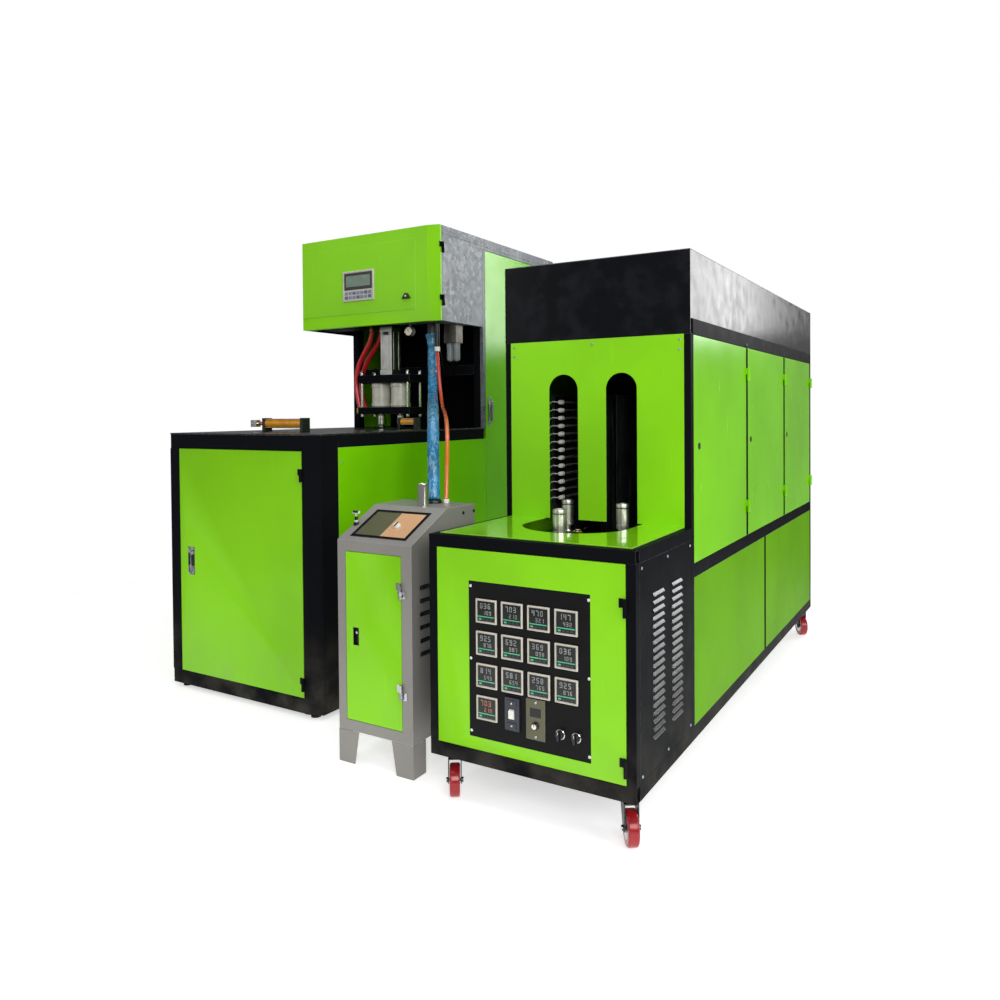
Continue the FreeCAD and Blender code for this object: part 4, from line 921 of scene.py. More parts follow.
def dished(part: Mesh, axis: Point, inset: float, depth: float) -> Mesh:
    """Sink the broadest face that looks along an axis.

    Args:
        part: The bmesh.
        axis: The way the face looks.
        inset: Width of the rim left around it, in millimetres.
        depth: How far it sinks, in millimetres.

    Returns:
        The same bmesh.
    """
    look = Vector(axis)
    part.normal_update()
    face = max((f for f in part.faces if f.normal.dot(look) > 0.99), key=lambda f: f.calc_area())
    bmesh.ops.inset_region(part, faces=[face], thickness=inset * MM)
    walls = bmesh.ops.inset_region(part, faces=[face], thickness=0.2 * MM, depth=-depth * MM)
    bmesh.ops.recalc_face_normals(part, faces=part.faces)
    return part if walls else part


def is_small(low: Vector, high: Vector, reach: float = 0.08) -> bool:
    """Whether a solid's diagonal is under reach metres."""
    return (high - low).length < reach


def trimmed(sheet: Finish, trim: Finish) -> Callable[[Vector, Vector], Finish]:
    """Choose the sheet's finish for broad solids and the trim's for hinge leaves and latches."""
    return lambda low, high: trim if is_small(low, high) else sheet


@dataclass(frozen=True)
class LouvreSize:
    """Rows of pressed louvres, in millimetres."""

    columns: tuple[tuple[float, float], ...] = ((130.0, 214.0), (292.0, 376.0))
    first: float = 268.0
    pitch: float = 22.5
    rows: int = 19
    rise: float = 9.0
    stand: float = 5.5


class OvenCabinet:
    """Frame, sheets, hood, table and arch panel of the preform oven."""

    def __init__(self, louvres: LouvreSize = LouvreSize()) -> None:
        """Keep the louvres' sizes."""
        self.louvres = louvres

    def build(self) -> None:
        """Make every piece of the cabinet."""
        Piece("oven_frame_tubes", "machine", "black_paint", ["oven_frame"]).copy("oven_frame", FRAME_BLACK).done()
        sheets = Piece("oven_green_sheets", "machine", "green_paint", ["oven_panels"])
        # Sheets that end below 0.7 m take the darker copy: painted shade under the table.
        sheets.copy("oven_panels", lambda low, high: SHADED_LOWER_GREEN if high.z < 0.7 else SHADED_SIDE_GREEN)
        # Dull black strips at the seams of the lower sheets: painted shadow of the gaps between them.
        for y in (1473, 1486):
            sheets.add(INNER_AND_SHADOW_BLACK, oven_box(679.6, 681, y, y + 11, 180, 658, 0.3))
            sheets.add(INNER_AND_SHADOW_BLACK, oven_box(-1, 0.4, y, y + 11, 180, 658, 0.3))
        sheets.done()
        self._louvred_sheets()
        self._hood()
        table = Piece("oven_loading_table", "machine", "green_paint", ["oven_table_plate"])
        table.copy("oven_table_plate", LIT_TABLE_GREEN, 2.2 * MM).done()
        arch = Piece("oven_arched_panel", "machine", "green_paint", ["oven_arch_panel"])
        arch.copy("oven_arch_panel", FRONT_GREEN, 1.0 * MM)
        for x in (36, 340, 644):
            for z in (1392, 1424):
                if x != 340 or z > 1400:
                    arch.add(ZINC, screw(OVEN.at(x, 478, z), FRONT, 4.0))
        arch.done()

    def _louvred_sheets(self) -> None:
        """Black side sheets with a lip over each slot, the lips in a lighter grey as painted highlight."""
        sheets = Piece("oven_louvred_sheets", "machine", "black_paint", ["oven_black_panels"])
        sheets.copy("oven_black_panels", SHEET_BLACK, 1.2 * MM)
        size = self.louvres
        for y0, y1 in size.columns:
            for row in range(size.rows):
                z = size.first + row * size.pitch
                outline = [(-1.0, size.rise + 1.5), (size.stand, 2.0), (size.stand, 0.5), (size.stand - 1.2, 0.5),
                           (-1.0, size.rise - 2.0)]
                lip = slab([(u * MM, v * MM) for u, v in outline], OVEN.at(680, y1 + 2, z), RIGHT, UP,
                           (y1 - y0 + 4) * MM, 0.5 * MM)
                # The lips take the lighter grey: painted highlight.
                sheets.add(LIT_LOUVRE_GREY, lip)
        for y in (44, 254, 464):
            for z in (196, 768):
                sheets.add(ZINC, screw(OVEN.at(680, y, z), RIGHT, 4.5))
        sheets.done()

    def _hood(self) -> None:
        """Hood with its seams."""
        hood = Piece("oven_hood_sheet", "machine", "black_paint", ["oven_hood"])
        hood.copy("oven_hood", HOOD_BLACK, 3.0 * MM)
        for y in (1187, 1871):
            hood.add(HOOD_BLACK, oven_box(677, 682, y - 14, y + 14, 1446, 1456, 1.0))
        hood.done(20)


@dataclass(frozen=True)
class ChainSize:
    """Race-track chain, in millimetres."""

    middle: float = 337.0
    radius: float = 107.0
    front: float = 360.0
    rear: float = 2300.0
    low: float = 752.0
    high: float = 772.0
    links: int = 120
    holders: int = 15

    @property
    def straight(self) -> float:
        """Length of one straight run."""
        return self.rear - self.front

    @property
    def total(self) -> float:
        """Length of the whole line."""
        return 2 * self.straight + 2 * math.pi * self.radius

    def place(self, along: float) -> tuple[float, float]:
        """Point of the line, a distance along it from the front of the front wheel.

        Args:
            along: The distance.

        Returns:
            Its x and y in the oven's millimetres.
        """
        quarter = math.pi * self.radius / 2
        s = along % self.total
        if s < quarter or s > self.total - quarter:
            angle = (s if s < quarter else s - self.total) / self.radius
            return self.middle + self.radius * math.sin(angle), self.front - self.radius * math.cos(angle)
        if s < quarter + self.straight:
            return self.middle + self.radius, self.front + s - quarter
        if s < 3 * quarter + self.straight:
            angle = (s - self.straight - quarter) / self.radius
            return self.middle + self.radius * math.cos(angle), self.rear + self.radius * math.sin(angle)
        return self.middle - self.radius, self.rear - (s - self.straight - 3 * quarter)


class PreformConveyor:
    """Roller chain, preform holders, turn wheels, track and motor."""

    def __init__(self, size: ChainSize = ChainSize()) -> None:
        """Keep the sizes."""
        self.size = size

    def build(self) -> None:
        """Make every piece of the conveyor."""
        self._chain()
        self._holders()
        for name, y in (("front", self.size.front), ("rear", self.size.rear)):
            self._wheel(name, y)
        track = Piece("conveyor_rails", "machine", "bare_steel", ["conveyor_track"])
        track.copy("conveyor_track", lambda low, high: STEEL if high.z - low.z < 0.05 or high.x - low.x < 0.01 else BRASS)
        for y in (self.size.front, self.size.rear):
            track.add(BRASS, lathe([(0, 0), (15 * MM, 0), (17 * MM, 2 * MM), (17 * MM, 6 * MM), (9 * MM, 9 * MM),
                                    (0, 9 * MM)], OVEN.at(self.size.middle, y, 797.5)))
            track.add(STEEL, hexagon(OVEN.at(self.size.middle, y, 806), UP, 9, 5))
        track.done()
        self._motor()

    def _link(self, first: tuple[float, float], second: tuple[float, float], inner: bool) -> Iterable[Mesh]:
        """Two waisted plates between two pins."""
        a, b = Vector((*first, 0.0)), Vector((*second, 0.0))
        along = (b - a).normalized()
        reach = (b - a).length
        across = Vector((0, 0, 1)).cross(along)
        outline = []
        for end, start in ((reach, -90), (0.0, 90)):
            for step in range(5):
                turn = math.radians(start + step * 45)
                outline.append(((end + 5.2 * math.cos(turn)) * MM, 5.2 * math.sin(turn) * MM))
            outline.append((reach * MM / 2, (3.4 if end else -3.4) * MM))
        for z in ((755.2, 767.0) if inner else (753.2, 769.0)):
            yield slab(outline, OVEN.at(a.x, a.y, z), tuple(along), tuple(across), 1.8 * MM, 0.0)

    def _chain(self) -> None:
        """Links, rollers and pins all the way round."""
        size = self.size
        chain = Piece("conveyor_roller_chain", "machine", "black_iron", ["conveyor_chain"])
        pitch = size.total / size.links
        for i in range(size.links):
            here, there = size.place(i * pitch), size.place((i + 1) * pitch)
            for plate in self._link(here, there, i % 2 == 0):
                chain.add(OILED_STEEL, plate)
            chain.add(STEEL, disc(OVEN.at(*here, 752.0), UP, 2.4 * MM, 20 * MM, 0.4 * MM, 10))
            chain.add(OILED_STEEL, disc(OVEN.at(*here, 757.0), UP, 4.2 * MM, 10 * MM, 0.3 * MM, 12))
        chain.done()

    def _holders(self) -> None:
        """Turned mandrels with a groove, a sealing ring and a bored seat."""
        size = self.size
        piece = Piece("preform_mandrels", "machine", "bright_steel", ["preform_holders"])
        profile = [(0, 0), (9, 0), (9, 3), (14, 4), (15, 6), (15, 10), (14, 12), (9, 13), (9, 21), (12, 24), (20, 30),
                   (21, 32), (21, 46), (19.6, 47), (19.6, 51), (21, 52), (21, 98), (20, 99), (20, 103), (21, 104),
                   (21, 113.4), (19.6, 115.6), (15, 116), (14, 115), (14, 94), (0, 94)]
        for i in range(size.holders):
            x, y = size.place(i * size.total / size.holders - 12)
            piece.add(MANDREL, lathe([(r * MM, h * MM) for r, h in profile], OVEN.at(x, y, 772), sides=48))
            ring = [(19.9, 99.6), (20.9, 100.4), (20.9, 101.8), (19.9, 102.6)]
            piece.add(BLACK_PLASTIC, lathe([(r * MM, h * MM) for r, h in ring], OVEN.at(x, y, 772), sides=40))
        piece.done()

    def _wheel(self, name: str, y: float) -> None:
        """Toothed turn wheel with a hub and six screws."""
        size = self.size
        body = f"{name}_turn_wheel"
        wheel = Piece(f"{name}_sprocket", body, "bright_steel", [body])
        teeth = 18
        outline = []
        for tooth in range(teeth):
            for turn, radius in ((-0.34, 96.5), (-0.2, 97.5), (-0.1, 100.6), (0.1, 100.6), (0.2, 97.5), (0.34, 96.5)):
                angle = (tooth + turn) * math.tau / teeth
                outline.append((radius * math.cos(angle) * MM, radius * math.sin(angle) * MM))
        wheel.add(STEEL, slab(outline, OVEN.at(size.middle, y, 757), RIGHT, BACK, 10 * MM, 0.5 * MM))
        hub = [(12.4, -16), (34, -16), (34, -5), (78, -5), (80, -4), (80, 8), (78, 9), (36, 9), (34, 11), (34, 20),
               (31, 22), (22, 26), (12.4, 26), (12.4, -16)]
        wheel.add(TURNED, lathe([(r * MM, h * MM) for r, h in hub], OVEN.at(size.middle, y, 762), sides=56))
        for i in range(6):
            angle = math.tau * i / 6
            spot = OVEN.at(size.middle + 58 * math.cos(angle), y + 58 * math.sin(angle), 771)
            wheel.add(OILED_STEEL, hexagon(spot, UP, 6.5, 4.5))
        wheel.done()

    def _motor(self) -> None:
        """Geared motor with cooling fins and a terminal box."""
        motor = Piece("conveyor_motor", "machine", "aluminium", ["drive_motor"])
        motor.copy("drive_motor", lambda low, high: CAST_GREY if low.y > 0.95 else SATIN_ALUMINIUM, 2.5 * MM)
        for i in range(16):
            motor.add(SATIN_ALUMINIUM, disc(OVEN.at(337, 2060 + i * 10, 646), BACK, 61.6 * MM, 4 * MM, 0.6 * MM, 40))
        motor.done()


@dataclass(frozen=True)
class LampSize:
    """Lamp banks, in millimetres."""

    middle: float = 337.0
    out: float = 187.0
    low: float = 882.0
    pitch: float = 29.0
    rows: int = 13
    radius: float = 5.0
    banks: tuple[tuple[float, float], ...] = ((630.0, 1150.0), (1220.0, 1840.0), (1905.0, 2160.0))


class LampBank:
    """Quartz heating lamps with filaments, ceramic ends, wires and reflectors."""

    def __init__(self, size: LampSize = LampSize()) -> None:
        """Keep the sizes."""
        self.size = size

    def build(self) -> None:
        """Make the lamps and the reflectors."""
        size = self.size
        lamps = Piece("heating_lamp_tubes", "machine", "lamp_glass", ["heating_lamps"])
        wires = Piece("heating_lamp_wires", "machine", "lamp_glass")
        for side in (-1, 1):
            x = size.middle + side * size.out
            for bank, (y0, y1) in enumerate(size.banks):
                for row in range(size.rows):
                    z = size.low + row * size.pitch
                    lamps.add(QUARTZ, disc(OVEN.at(x, y0, z), BACK, size.radius * MM, (y1 - y0) * MM, 0.0, 14))
                    lamps.add(BRASS, disc(OVEN.at(x, y0 + 4, z), BACK, 1.3 * MM, (y1 - y0 - 8) * MM, 0.0, 8))
                    for start, look in ((y0, FRONT), (y1, BACK)):
                        end = [(5.2, -6), (8, -5), (8, 16), (6.4, 17), (6.4, 25), (2, 26), (0, 26)]
                        lamps.add(CERAMIC, lathe([(r * MM, h * MM) for r, h in end], OVEN.at(x, start, z), look, 16))
                    if bank == 0:
                        self._wire(wires, x, y0 - 25, z, side, row)
        lamps.done()
        wires.done()
        # Reflectors in darkened zinc, their end plates dull black: painted shade inside the oven.
        reflectors = Piece("lamp_reflector_sheets", "machine", "bare_steel", ["lamp_reflectors"])
        reflectors.copy("lamp_reflectors", lambda low, high: SHADED_LAMP_ZINC if high.y - low.y > 0.1 else INNER_AND_SHADOW_BLACK,
                        0.5 * MM, 0.3 * MM).done()

    def _wire(self, wires: Piece, x: float, y: float, z: float, side: int, row: int) -> None:
        """Wire from one lamp's front end towards the outer wall."""
        sway = math.sin(row * 2.3) * 5
        line = [(x, y + 2, z), (x + side * 2, y - 12, z + 1), (x + side * 22, y - 22 + sway, z + 3),
                (x + side * 40, y - 16, z - 18 + sway), (x + side * 52, y - 4, z - 60), (x + side * 60, y + 20, z - 74)]
        wires.add(WIRE_WHITE, tube_along([OVEN.at(*p) for p in line], 1.7 * MM, 8))


class Segment(Enum):
    """Bars of a seven-bar digit: across, up, and whether it lies flat."""

    TOP = (0, 2, True)
    MIDDLE = (0, 1, True)
    BOTTOM = (0, 0, True)
    UPPER_LEFT = (0, 1, False)
    UPPER_RIGHT = (1, 1, False)
    LOWER_LEFT = (0, 0, False)
    LOWER_RIGHT = (1, 0, False)


DIGITS: dict[int, str] = {0: "TBabcd", 1: "bd", 2: "TMBbc", 3: "TMBbd", 4: "Mabd", 5: "TMBad", 6: "TMBacd", 7: "Tbd",
                          8: "TMBabcd", 9: "TMBabd"}
LETTERS: dict[str, Segment] = dict(zip("TMBabcd", Segment))


def digit(number: int, place: Point, height: float) -> Iterable[Mesh]:
    """Bars of one digit that faces the front.

    Args:
        number: 0 to 9.
        place: Its lower left corner.
        height: Its height in millimetres.

    Returns:
        The bars.
    """
    wide, bar = height * 0.52, height * 0.13
    x, y, z = place
    for letter in DIGITS[number]:
        column, level, flat = LETTERS[letter].value
        left = x + (0.0 if flat else column * (wide - bar)) * MM
        low = z + level * (height - bar) / 2 * MM
        reach, rise = (wide, bar) if flat else (bar, (height + bar) / 2)
        yield block((left, y - 0.4 * MM, low), (left + reach * MM, y + 0.4 * MM, low + rise * MM))


@dataclass(frozen=True)
class PanelSize:
    """Instrument panel of the control door, in millimetres."""

    face: float = 2.0
    first: tuple[float, float] = (208.0, 603.0)
    pitch: tuple[float, float] = (88.0, 97.0)
    gauge: float = 72.0


class ControlDoor:
    """Green door with its dark instrument panel."""

    def __init__(self, size: PanelSize = PanelSize()) -> None:
        """Keep the sizes."""
        self.size = size

    def build(self) -> None:
        """Make the door and all that is on it."""
        body = "control_door"
        door = Piece("control_door_sheet", body, "green_paint", ["control_door"])
        door.copy("control_door", trimmed(FRONT_GREEN, FRAME_BLACK), 1.6 * MM).done()
        panel = Piece("control_door_panel", body, "black_plastic", ["control_panel"])
        panel.copy("control_panel", DARK_PANEL, 0.6 * MM)
        for x in (151, 541):
            for z in (236, 455, 674):
                panel.add(WHITE_PLASTIC, screw(OVEN.at(x, 2, z), FRONT, 4.6))
        panel.done()
        self._instruments(body)
        self._rocker()
        for side, x in (("left", 451), ("right", 501)):
            self._knob(side, x)

    def _instruments(self, body: str) -> None:
        """Thirteen controllers, the breaker and the speed plate."""
        piece = Piece("control_door_instruments", body, "bezel_plastic", ["panel_instruments"])
        size = self.size
        for row in range(4):
            for column in range(4 if row < 3 else 1):
                x = size.first[0] + column * size.pitch[0]
                z = size.first[1] - row * size.pitch[1]
                self._controller(piece, x, z, DIGIT_WARM if row == 3 else DIGIT_GREY, 37 * row + 11 * column)
        x, z = size.first[0] + size.pitch[0], size.first[1] - 3 * size.pitch[1]
        for half in (-1, 1):
            piece.add(BREAKER_GREY, oven_box(x - 24, x + 24, -6, 2, min(z + half * 16, z + half * 48),
                                             max(z + half * 16, z + half * 48), 0.8))
            piece.add(BREAKER_GREY, oven_box(min(x + half * 8.3, x + half * 24), max(x + half * 8.3, x + half * 24),
                                             -6, 2, z - 16, z + 16, 0.6))
            piece.add(BREAKER_GREY, oven_box(x - 15, x + 15, -8.6, -5, z + half * 33 - 9, z + half * 33 + 9, 1.2))
            piece.add(STEEL, screw(OVEN.at(x, -8.4, z + half * 33), FRONT, 3.4))
        plate = oven_box(x + 45, x + 107, -1, 2, z - 62, z + 56, 1.0)
        piece.add(OLIVE, plate)
        for up in (-53, 47):
            piece.add(STEEL, screw(OVEN.at(x + 76, -1, z + up), FRONT, 4.2))
        piece.add(BLACK_PLASTIC, oven_box(x + 58, x + 94, -1.6, 0, z + 4, z + 30, 0.5))
        piece.add(BLACK_PLASTIC, disc(OVEN.at(x + 76, -1, z - 20), FRONT, 12 * MM, 3 * MM, 0.6 * MM))
        piece.add(TURNED, disc(OVEN.at(x + 76, -3, z - 20), FRONT, 8 * MM, 9 * MM, 1.2 * MM))
        piece.add(BLACK_PLASTIC, oven_box(x + 75.2, x + 76.8, -12.4, -4, z - 20, z - 12.5))
        piece.done()

    def _controller(self, piece: Piece, x: float, z: float, digits: Finish, seed: int) -> None:
        """One temperature controller.

        Args:
            piece: Where it goes.
            x: Its middle.
            z: Its middle.
            digits: Finish of its digits.
            seed: What its numbers come from.
        """
        half = self.size.gauge / 2
        rim = dished(oven_box(x - half, x + half, -4, 2, z - half, z + half, 1.6), FRONT, 2.6, 1.6)
        piece.add(BEZEL, rim)
        piece.add(METER_FACE, oven_box(x - half + 6, x + half - 6, -3.4, 1, z - half + 6, z + half - 6, 0.5))
        for i in range(3):
            number = (seed * 7 + i * 3) % 10
            piece.add(digits, *digit(number, OVEN.at(x - 20 + i * 13.5, -3.4, z + 8), 16))
            piece.add(digits, *digit((number * 3 + 1) % 10, OVEN.at(x - 8 + i * 10, -3.4, z - 10), 12))
        piece.add(STRIP_GREEN, oven_box(x - 28, x + 28, -3.9, -3, z - 17.4, z - 14.4))
        for i in range(4):
            piece.add(STRIP_GREEN if i == 0 else BREAKER_GREY,
                      oven_box(x - 25 + i * 13, x - 16 + i * 13, -4.2, -3, z - 26, z - 21, 0.6))

    def _rocker(self) -> None:
        """White rocker of the breaker."""
        rocker = Piece("breaker_rocker_cap", "breaker_rocker", "white_plastic", ["breaker_rocker"])
        rocker.copy("breaker_rocker", WHITE_PLASTIC, 0.8 * MM, 0.3 * MM).done()

    def _knob(self, side: str, x: float) -> None:
        """Selector knob with a silver ring and a grip bar."""
        body = f"{side}_knob"
        knob = Piece(f"{side}_selector", body, "black_plastic", [body])
        z = 282
        knob.add(TURNED, lathe([(r * MM, h * MM) for r, h in ((0, 0.4), (15, 0.4), (15, 3), (13.5, 4.4), (0, 4.4))],
                               OVEN.at(x, 2, z), FRONT))
        knob.add(BLACK_PLASTIC, lathe([(r * MM, h * MM) for r, h in ((0, 4), (12.6, 4), (12, 11), (11, 12), (0, 12))],
                                      OVEN.at(x, 2, z), FRONT))
        knob.add(BLACK_PLASTIC, oven_box(x - 3.6, x + 3.6, -18, -8, z - 14.5, z + 14.5, 1.6))
        knob.add(WHITE_PLASTIC, oven_box(x - 0.7, x + 0.7, -18.2, -17, z + 4, z + 13.5))
        knob.done()


class SideDoors:
    """Three tunnel doors on the oven's right side."""

    seam_shadow_strips: dict[str, tuple[float, ...]] = {"front": (1175.0,), "middle": (1189.0, 1859.0), "rear": (1876.0,)}

    def build(self) -> None:
        """Make the doors with their latches, hinge leaves and dull black edge strips that paint the shadow of the
        seams.
        """
        for name in ("front", "middle", "rear"):
            body = f"side_door_{name}"
            door = Piece(f"{body}_sheet", body, "green_paint", [body])
            door.copy(body, self._choose, 2.0 * MM)
            # Dull black strips along the door edges: painted shadow of the seams between the doors.
            for y in self.seam_shadow_strips[name]:
                door.add(INNER_AND_SHADOW_BLACK, oven_box(679.6, 680.9, y, y + 10, 706, 1438, 0.3))
            door.done()

    @staticmethod
    def _choose(low: Vector, high: Vector) -> Finish:
        """Dark latches, green sheets and leaves."""
        return BLACK_PLASTIC if is_small(low, high) and 1.0 < low.z < 1.2 else SHADED_SIDE_GREEN


class Casters:
    """Four swivel casters with translucent red treads."""

    def build(self) -> None:
        """Make forks and wheels."""
        sway = Vector((0.545, -0.839, 0.0)).normalized()
        axis = (-sway.y, sway.x, 0.0)
        for name, x, y in (("front_left", 48, 62), ("front_right", 632, 62), ("rear_left", 48, 2478),
                           ("rear_right", 632, 2478)):
            fork = Piece(f"caster_{name}_fork", f"caster_fork_{name}", "black_iron", [f"caster_fork_{name}"])
            fork.copy(f"caster_fork_{name}", OILED_STEEL, 1.2 * MM)
            middle = Vector(OVEN.at(x, y, 50)) + sway * 0.028
            for side in (-1, 1):
                spot = middle + Vector(axis) * side * 0.0225
                fork.add(STEEL, hexagon(tuple(spot), tuple(c * side for c in axis), 8.5, 5))
            fork.done()
            wheel = Piece(f"caster_{name}_wheel", f"caster_wheel_{name}", "red_wheel", [f"caster_wheel_{name}"])
            wheel.copy(f"caster_wheel_{name}", lambda low, high: RED_RUBBER if high.z - low.z > 0.09 else STEEL, 2 * MM)
            for side in (-1, 1):
                hub = [(0, 12.5), (12, 12.5), (14, 14), (30, 14), (33, 12), (35, 15), (37, 15), (37, 10)]
                wheel.add(CREAM_PLASTIC, lathe([(r * MM, h * MM) for r, h in hub], tuple(middle),
                                               tuple(c * side for c in axis), 36))
            wheel.done()


class PressCabinet:
    """Frame, sheets, table and doors of the press."""

    def build(self) -> None:
        """Make every piece of the cabinet."""
        frame_piece = Piece("press_frame_tubes", "machine", "black_paint", ["press_frame"])
        frame_piece.copy("press_frame", FRAME_BLACK).done()
        sheets = Piece("press_green_sheets", "machine", "green_paint", ["press_panels"])
        sheets.copy("press_panels", SHADED_SIDE_GREEN, 1.4 * MM)
        for z in (120, 560, 1000):
            sheets.add(ZINC, screw(PRESS.at(866, 140, z), RIGHT, 4.5))
        sheets.done()
        table = Piece("press_table_top", "machine", "black_paint", ["press_table"])
        table.copy("press_table", TABLE_BLACK, 1.2 * MM).done()
        door = Piece("press_base_door_sheet", "press_base_door", "green_paint", ["press_base_door"])
        door.copy("press_base_door", self._base_finish, 1.8 * MM)
        door.add(BLACK_PLASTIC, press_box(118, 141, 6, 15, 540, 590, 3.0))
        door.add(STEEL, disc(PRESS.at(129.5, 7, 606), FRONT, 6 * MM, 5 * MM, 1 * MM))
        door.done()
        side = Piece("column_door_sheet", "column_door", "green_paint", ["column_door"])
        side.copy("column_door", self._column_finish, 1.8 * MM).done()

    @staticmethod
    def _base_finish(low: Vector, high: Vector) -> Finish:
        """Green sheet, black leaves and a silver recessed pull."""
        if low.x < -0.9 and is_small(low, high, 0.2):
            return STEEL
        return FRAME_BLACK if is_small(low, high) else FRONT_GREEN

    @staticmethod
    def _column_finish(low: Vector, high: Vector) -> Finish:
        """Green sheet, black leaves and a steel grip."""
        if is_small(low, high, 0.2):
            return FRAME_BLACK if is_small(low, high) else STEEL
        return SHADED_COLUMN_GREEN


@dataclass(frozen=True)
class DisplaySize:
    """Operator display on the head door, in millimetres of the press."""

    left: float = 283.0
    right: float = 483.0
    low: float = 1757.0
    high: float = 1908.0
    front: float = 810.0


class PressHead:
    """Head shell, its green cover, the display and the lock."""

    def __init__(self, size: DisplaySize = DisplaySize()) -> None:
        """Keep the display's size."""
        self.size = size

    def build(self) -> None:
        """Make every piece of the head."""
        shell = Piece("press_head_shell", "machine", "bare_steel", ["head_shell"])
        shell.copy("head_shell", self._shell_finish, 1.0 * MM).done()
        cover = Piece("press_head_cover", "head_door", "green_paint", ["head_door"])
        cover.copy("head_door", trimmed(FRONT_GREEN, FRAME_BLACK), 2.4 * MM)
        cover.add(FRONT_GREEN, press_box(3, 733, 817.4, 822, 1692, 2030, 1.2))
        cover.done()
        self._display()
        lock = Piece("head_cover_lock", "head_lock_knob", "black_plastic", ["head_lock_knob"])
        lock.copy("head_lock_knob", BLACK_PLASTIC, 2.0 * MM, 0.6 * MM)
        lock.add(STEEL, disc(PRESS.at(683, 805.4, 1757), FRONT, 5 * MM, 1.2 * MM, 0.4 * MM))
        lock.done()

    @staticmethod
    def _shell_finish(low: Vector, high: Vector) -> Finish:
        """Dark roof and inner wall, zinc right side and strips."""
        if low.x > -0.30 or low.z > 2.02:
            return HEAD_ZINC
        return INNER_AND_SHADOW_BLACK if high.x - low.x > 0.1 else SHEET_BLACK

    def _display(self) -> None:
        """Bezel, cell and two rows of keys."""
        size = self.size
        piece = Piece("head_operator_display", "head_door", "bezel_plastic", ["head_display"])
        body = press_box(size.left, size.right, size.front, size.front + 12, size.low, size.high, 3.0)
        piece.add(BEZEL, dished(body, FRONT, 5.0, 1.5))
        piece.add(BLACK_PLASTIC, press_box(size.left + 7, size.right - 7, size.front + 10, size.front + 34,
                                           size.low + 7, size.high - 7, 1.0))
        piece.add(METER_FACE, press_box(size.left + 10, size.right - 10, size.front + 0.6, size.front + 4,
                                        size.low + 56, size.high - 10, 1.0))
        piece.add(LCD, press_box(size.left + 22, size.right - 22, size.front + 0.2, size.front + 3,
                                 size.low + 72, size.high - 24, 0.6))
        for row in range(2):
            for column in range(7):
                x = size.left + 13 + column * 25.2
                z = size.low + 11 + row * 21
                tint = KEY_BLUE if (row + column) % 3 == 0 else KEY_GREY
                piece.add(tint, press_box(x, x + 21, size.front - 0.2, size.front + 4, z, z + 16, 1.4))
        piece.done()


class SealHead:
    """Beam, seal plates on tie rods, stroke cylinders, nozzles and hose ports."""

    def build(self) -> None:
        """Make every piece of the seal head."""
        seal = Piece("seal_head_frame", "machine", "aluminium", ["seal_frame"])
        seal.copy("seal_frame", self._finish, 1.4 * MM)
        for x in (278, 588):
            for y in (950, 1054):
                seal.add(STEEL, hexagon(PRESS.at(x - 433 + 433 + (2 if x < 400 else -7), y + 2, 1404), UP, 10, 7))
        seal.done()
        barrels = Piece("seal_head_cylinders", "machine", "aluminium", ["air_cylinders"])
        self._square_barrel(barrels)
        for x in (370.5, 495.5):
            profile = [(0, 0), (49, 0), (51.5, 2), (51.5, 20), (48.5, 21), (48.5, 103), (51.5, 104), (51.5, 123),
                       (49, 125), (0, 125)]
            barrels.add(CREAM_BARREL, lathe([(r * MM, h * MM) for r, h in profile], PRESS.at(x, 1002, 1225), sides=64))
            barrels.add(BLACK_PLASTIC, disc(PRESS.at(x, 1002, 1229), UP, 51.9 * MM, 3 * MM, 0.4 * MM, 56))
            barrels.add(STEEL, disc(PRESS.at(x, 951, 1338), FRONT, 5 * MM, 4 * MM, 0.8 * MM, 20))
        barrels.done()
        nozzles = Piece("seal_nozzle_pair", "seal_nozzles", "bright_steel", ["seal_nozzles"])
        nozzles.copy("seal_nozzles", TURNED, 1.0 * MM).done()

    @staticmethod
    def _finish(low: Vector, high: Vector) -> Finish:
        """Chrome rods and nuts, brass ports, black beams and plates."""
        reach = high - low
        if reach.x < 0.02:
            return TURNED
        if reach.length < 0.06 or low.x < -0.87 and reach.z < 0.04 and reach.x < 0.05:
            return BRASS
        return FRAME_BLACK if reach.x > 0.5 else SHEET_BLACK

    @staticmethod
    def _square_barrel(piece: Piece) -> None:
        """Grooved square barrel with end caps and four screws."""
        half = 36.0
        side = [(-half, -half), (-24, -half), (-24, -half + 3), (-17, -half + 3), (-17, -half), (17, -half),
                (17, -half + 3), (24, -half + 3), (24, -half)]
        outline = []
        for turn in range(4):
            cosine, sine = round(math.cos(turn * math.pi / 2)), round(math.sin(turn * math.pi / 2))
            outline += [((u * cosine - v * sine) * MM, (u * sine + v * cosine) * MM) for u, v in side]
        piece.add(SATIN_ALUMINIUM, slab(outline, PRESS.at(433, 1002, 1418), RIGHT, BACK, 194 * MM, 0.6 * MM))
        for z0, z1 in ((1390, 1418), (1612, 1640)):
            piece.add(SATIN_ALUMINIUM, press_box(394, 472, 963, 1041, z0, z1, 2.4))
        for x in (402, 464):
            for y in (971, 1033):
                piece.add(STEEL, disc(PRESS.at(x, y, 1416), UP, 4 * MM, 198 * MM, 0.0, 12))
        piece.add(BLACK_PLASTIC, press_box(420, 446, 958, 966, 1596, 1610, 1.5))


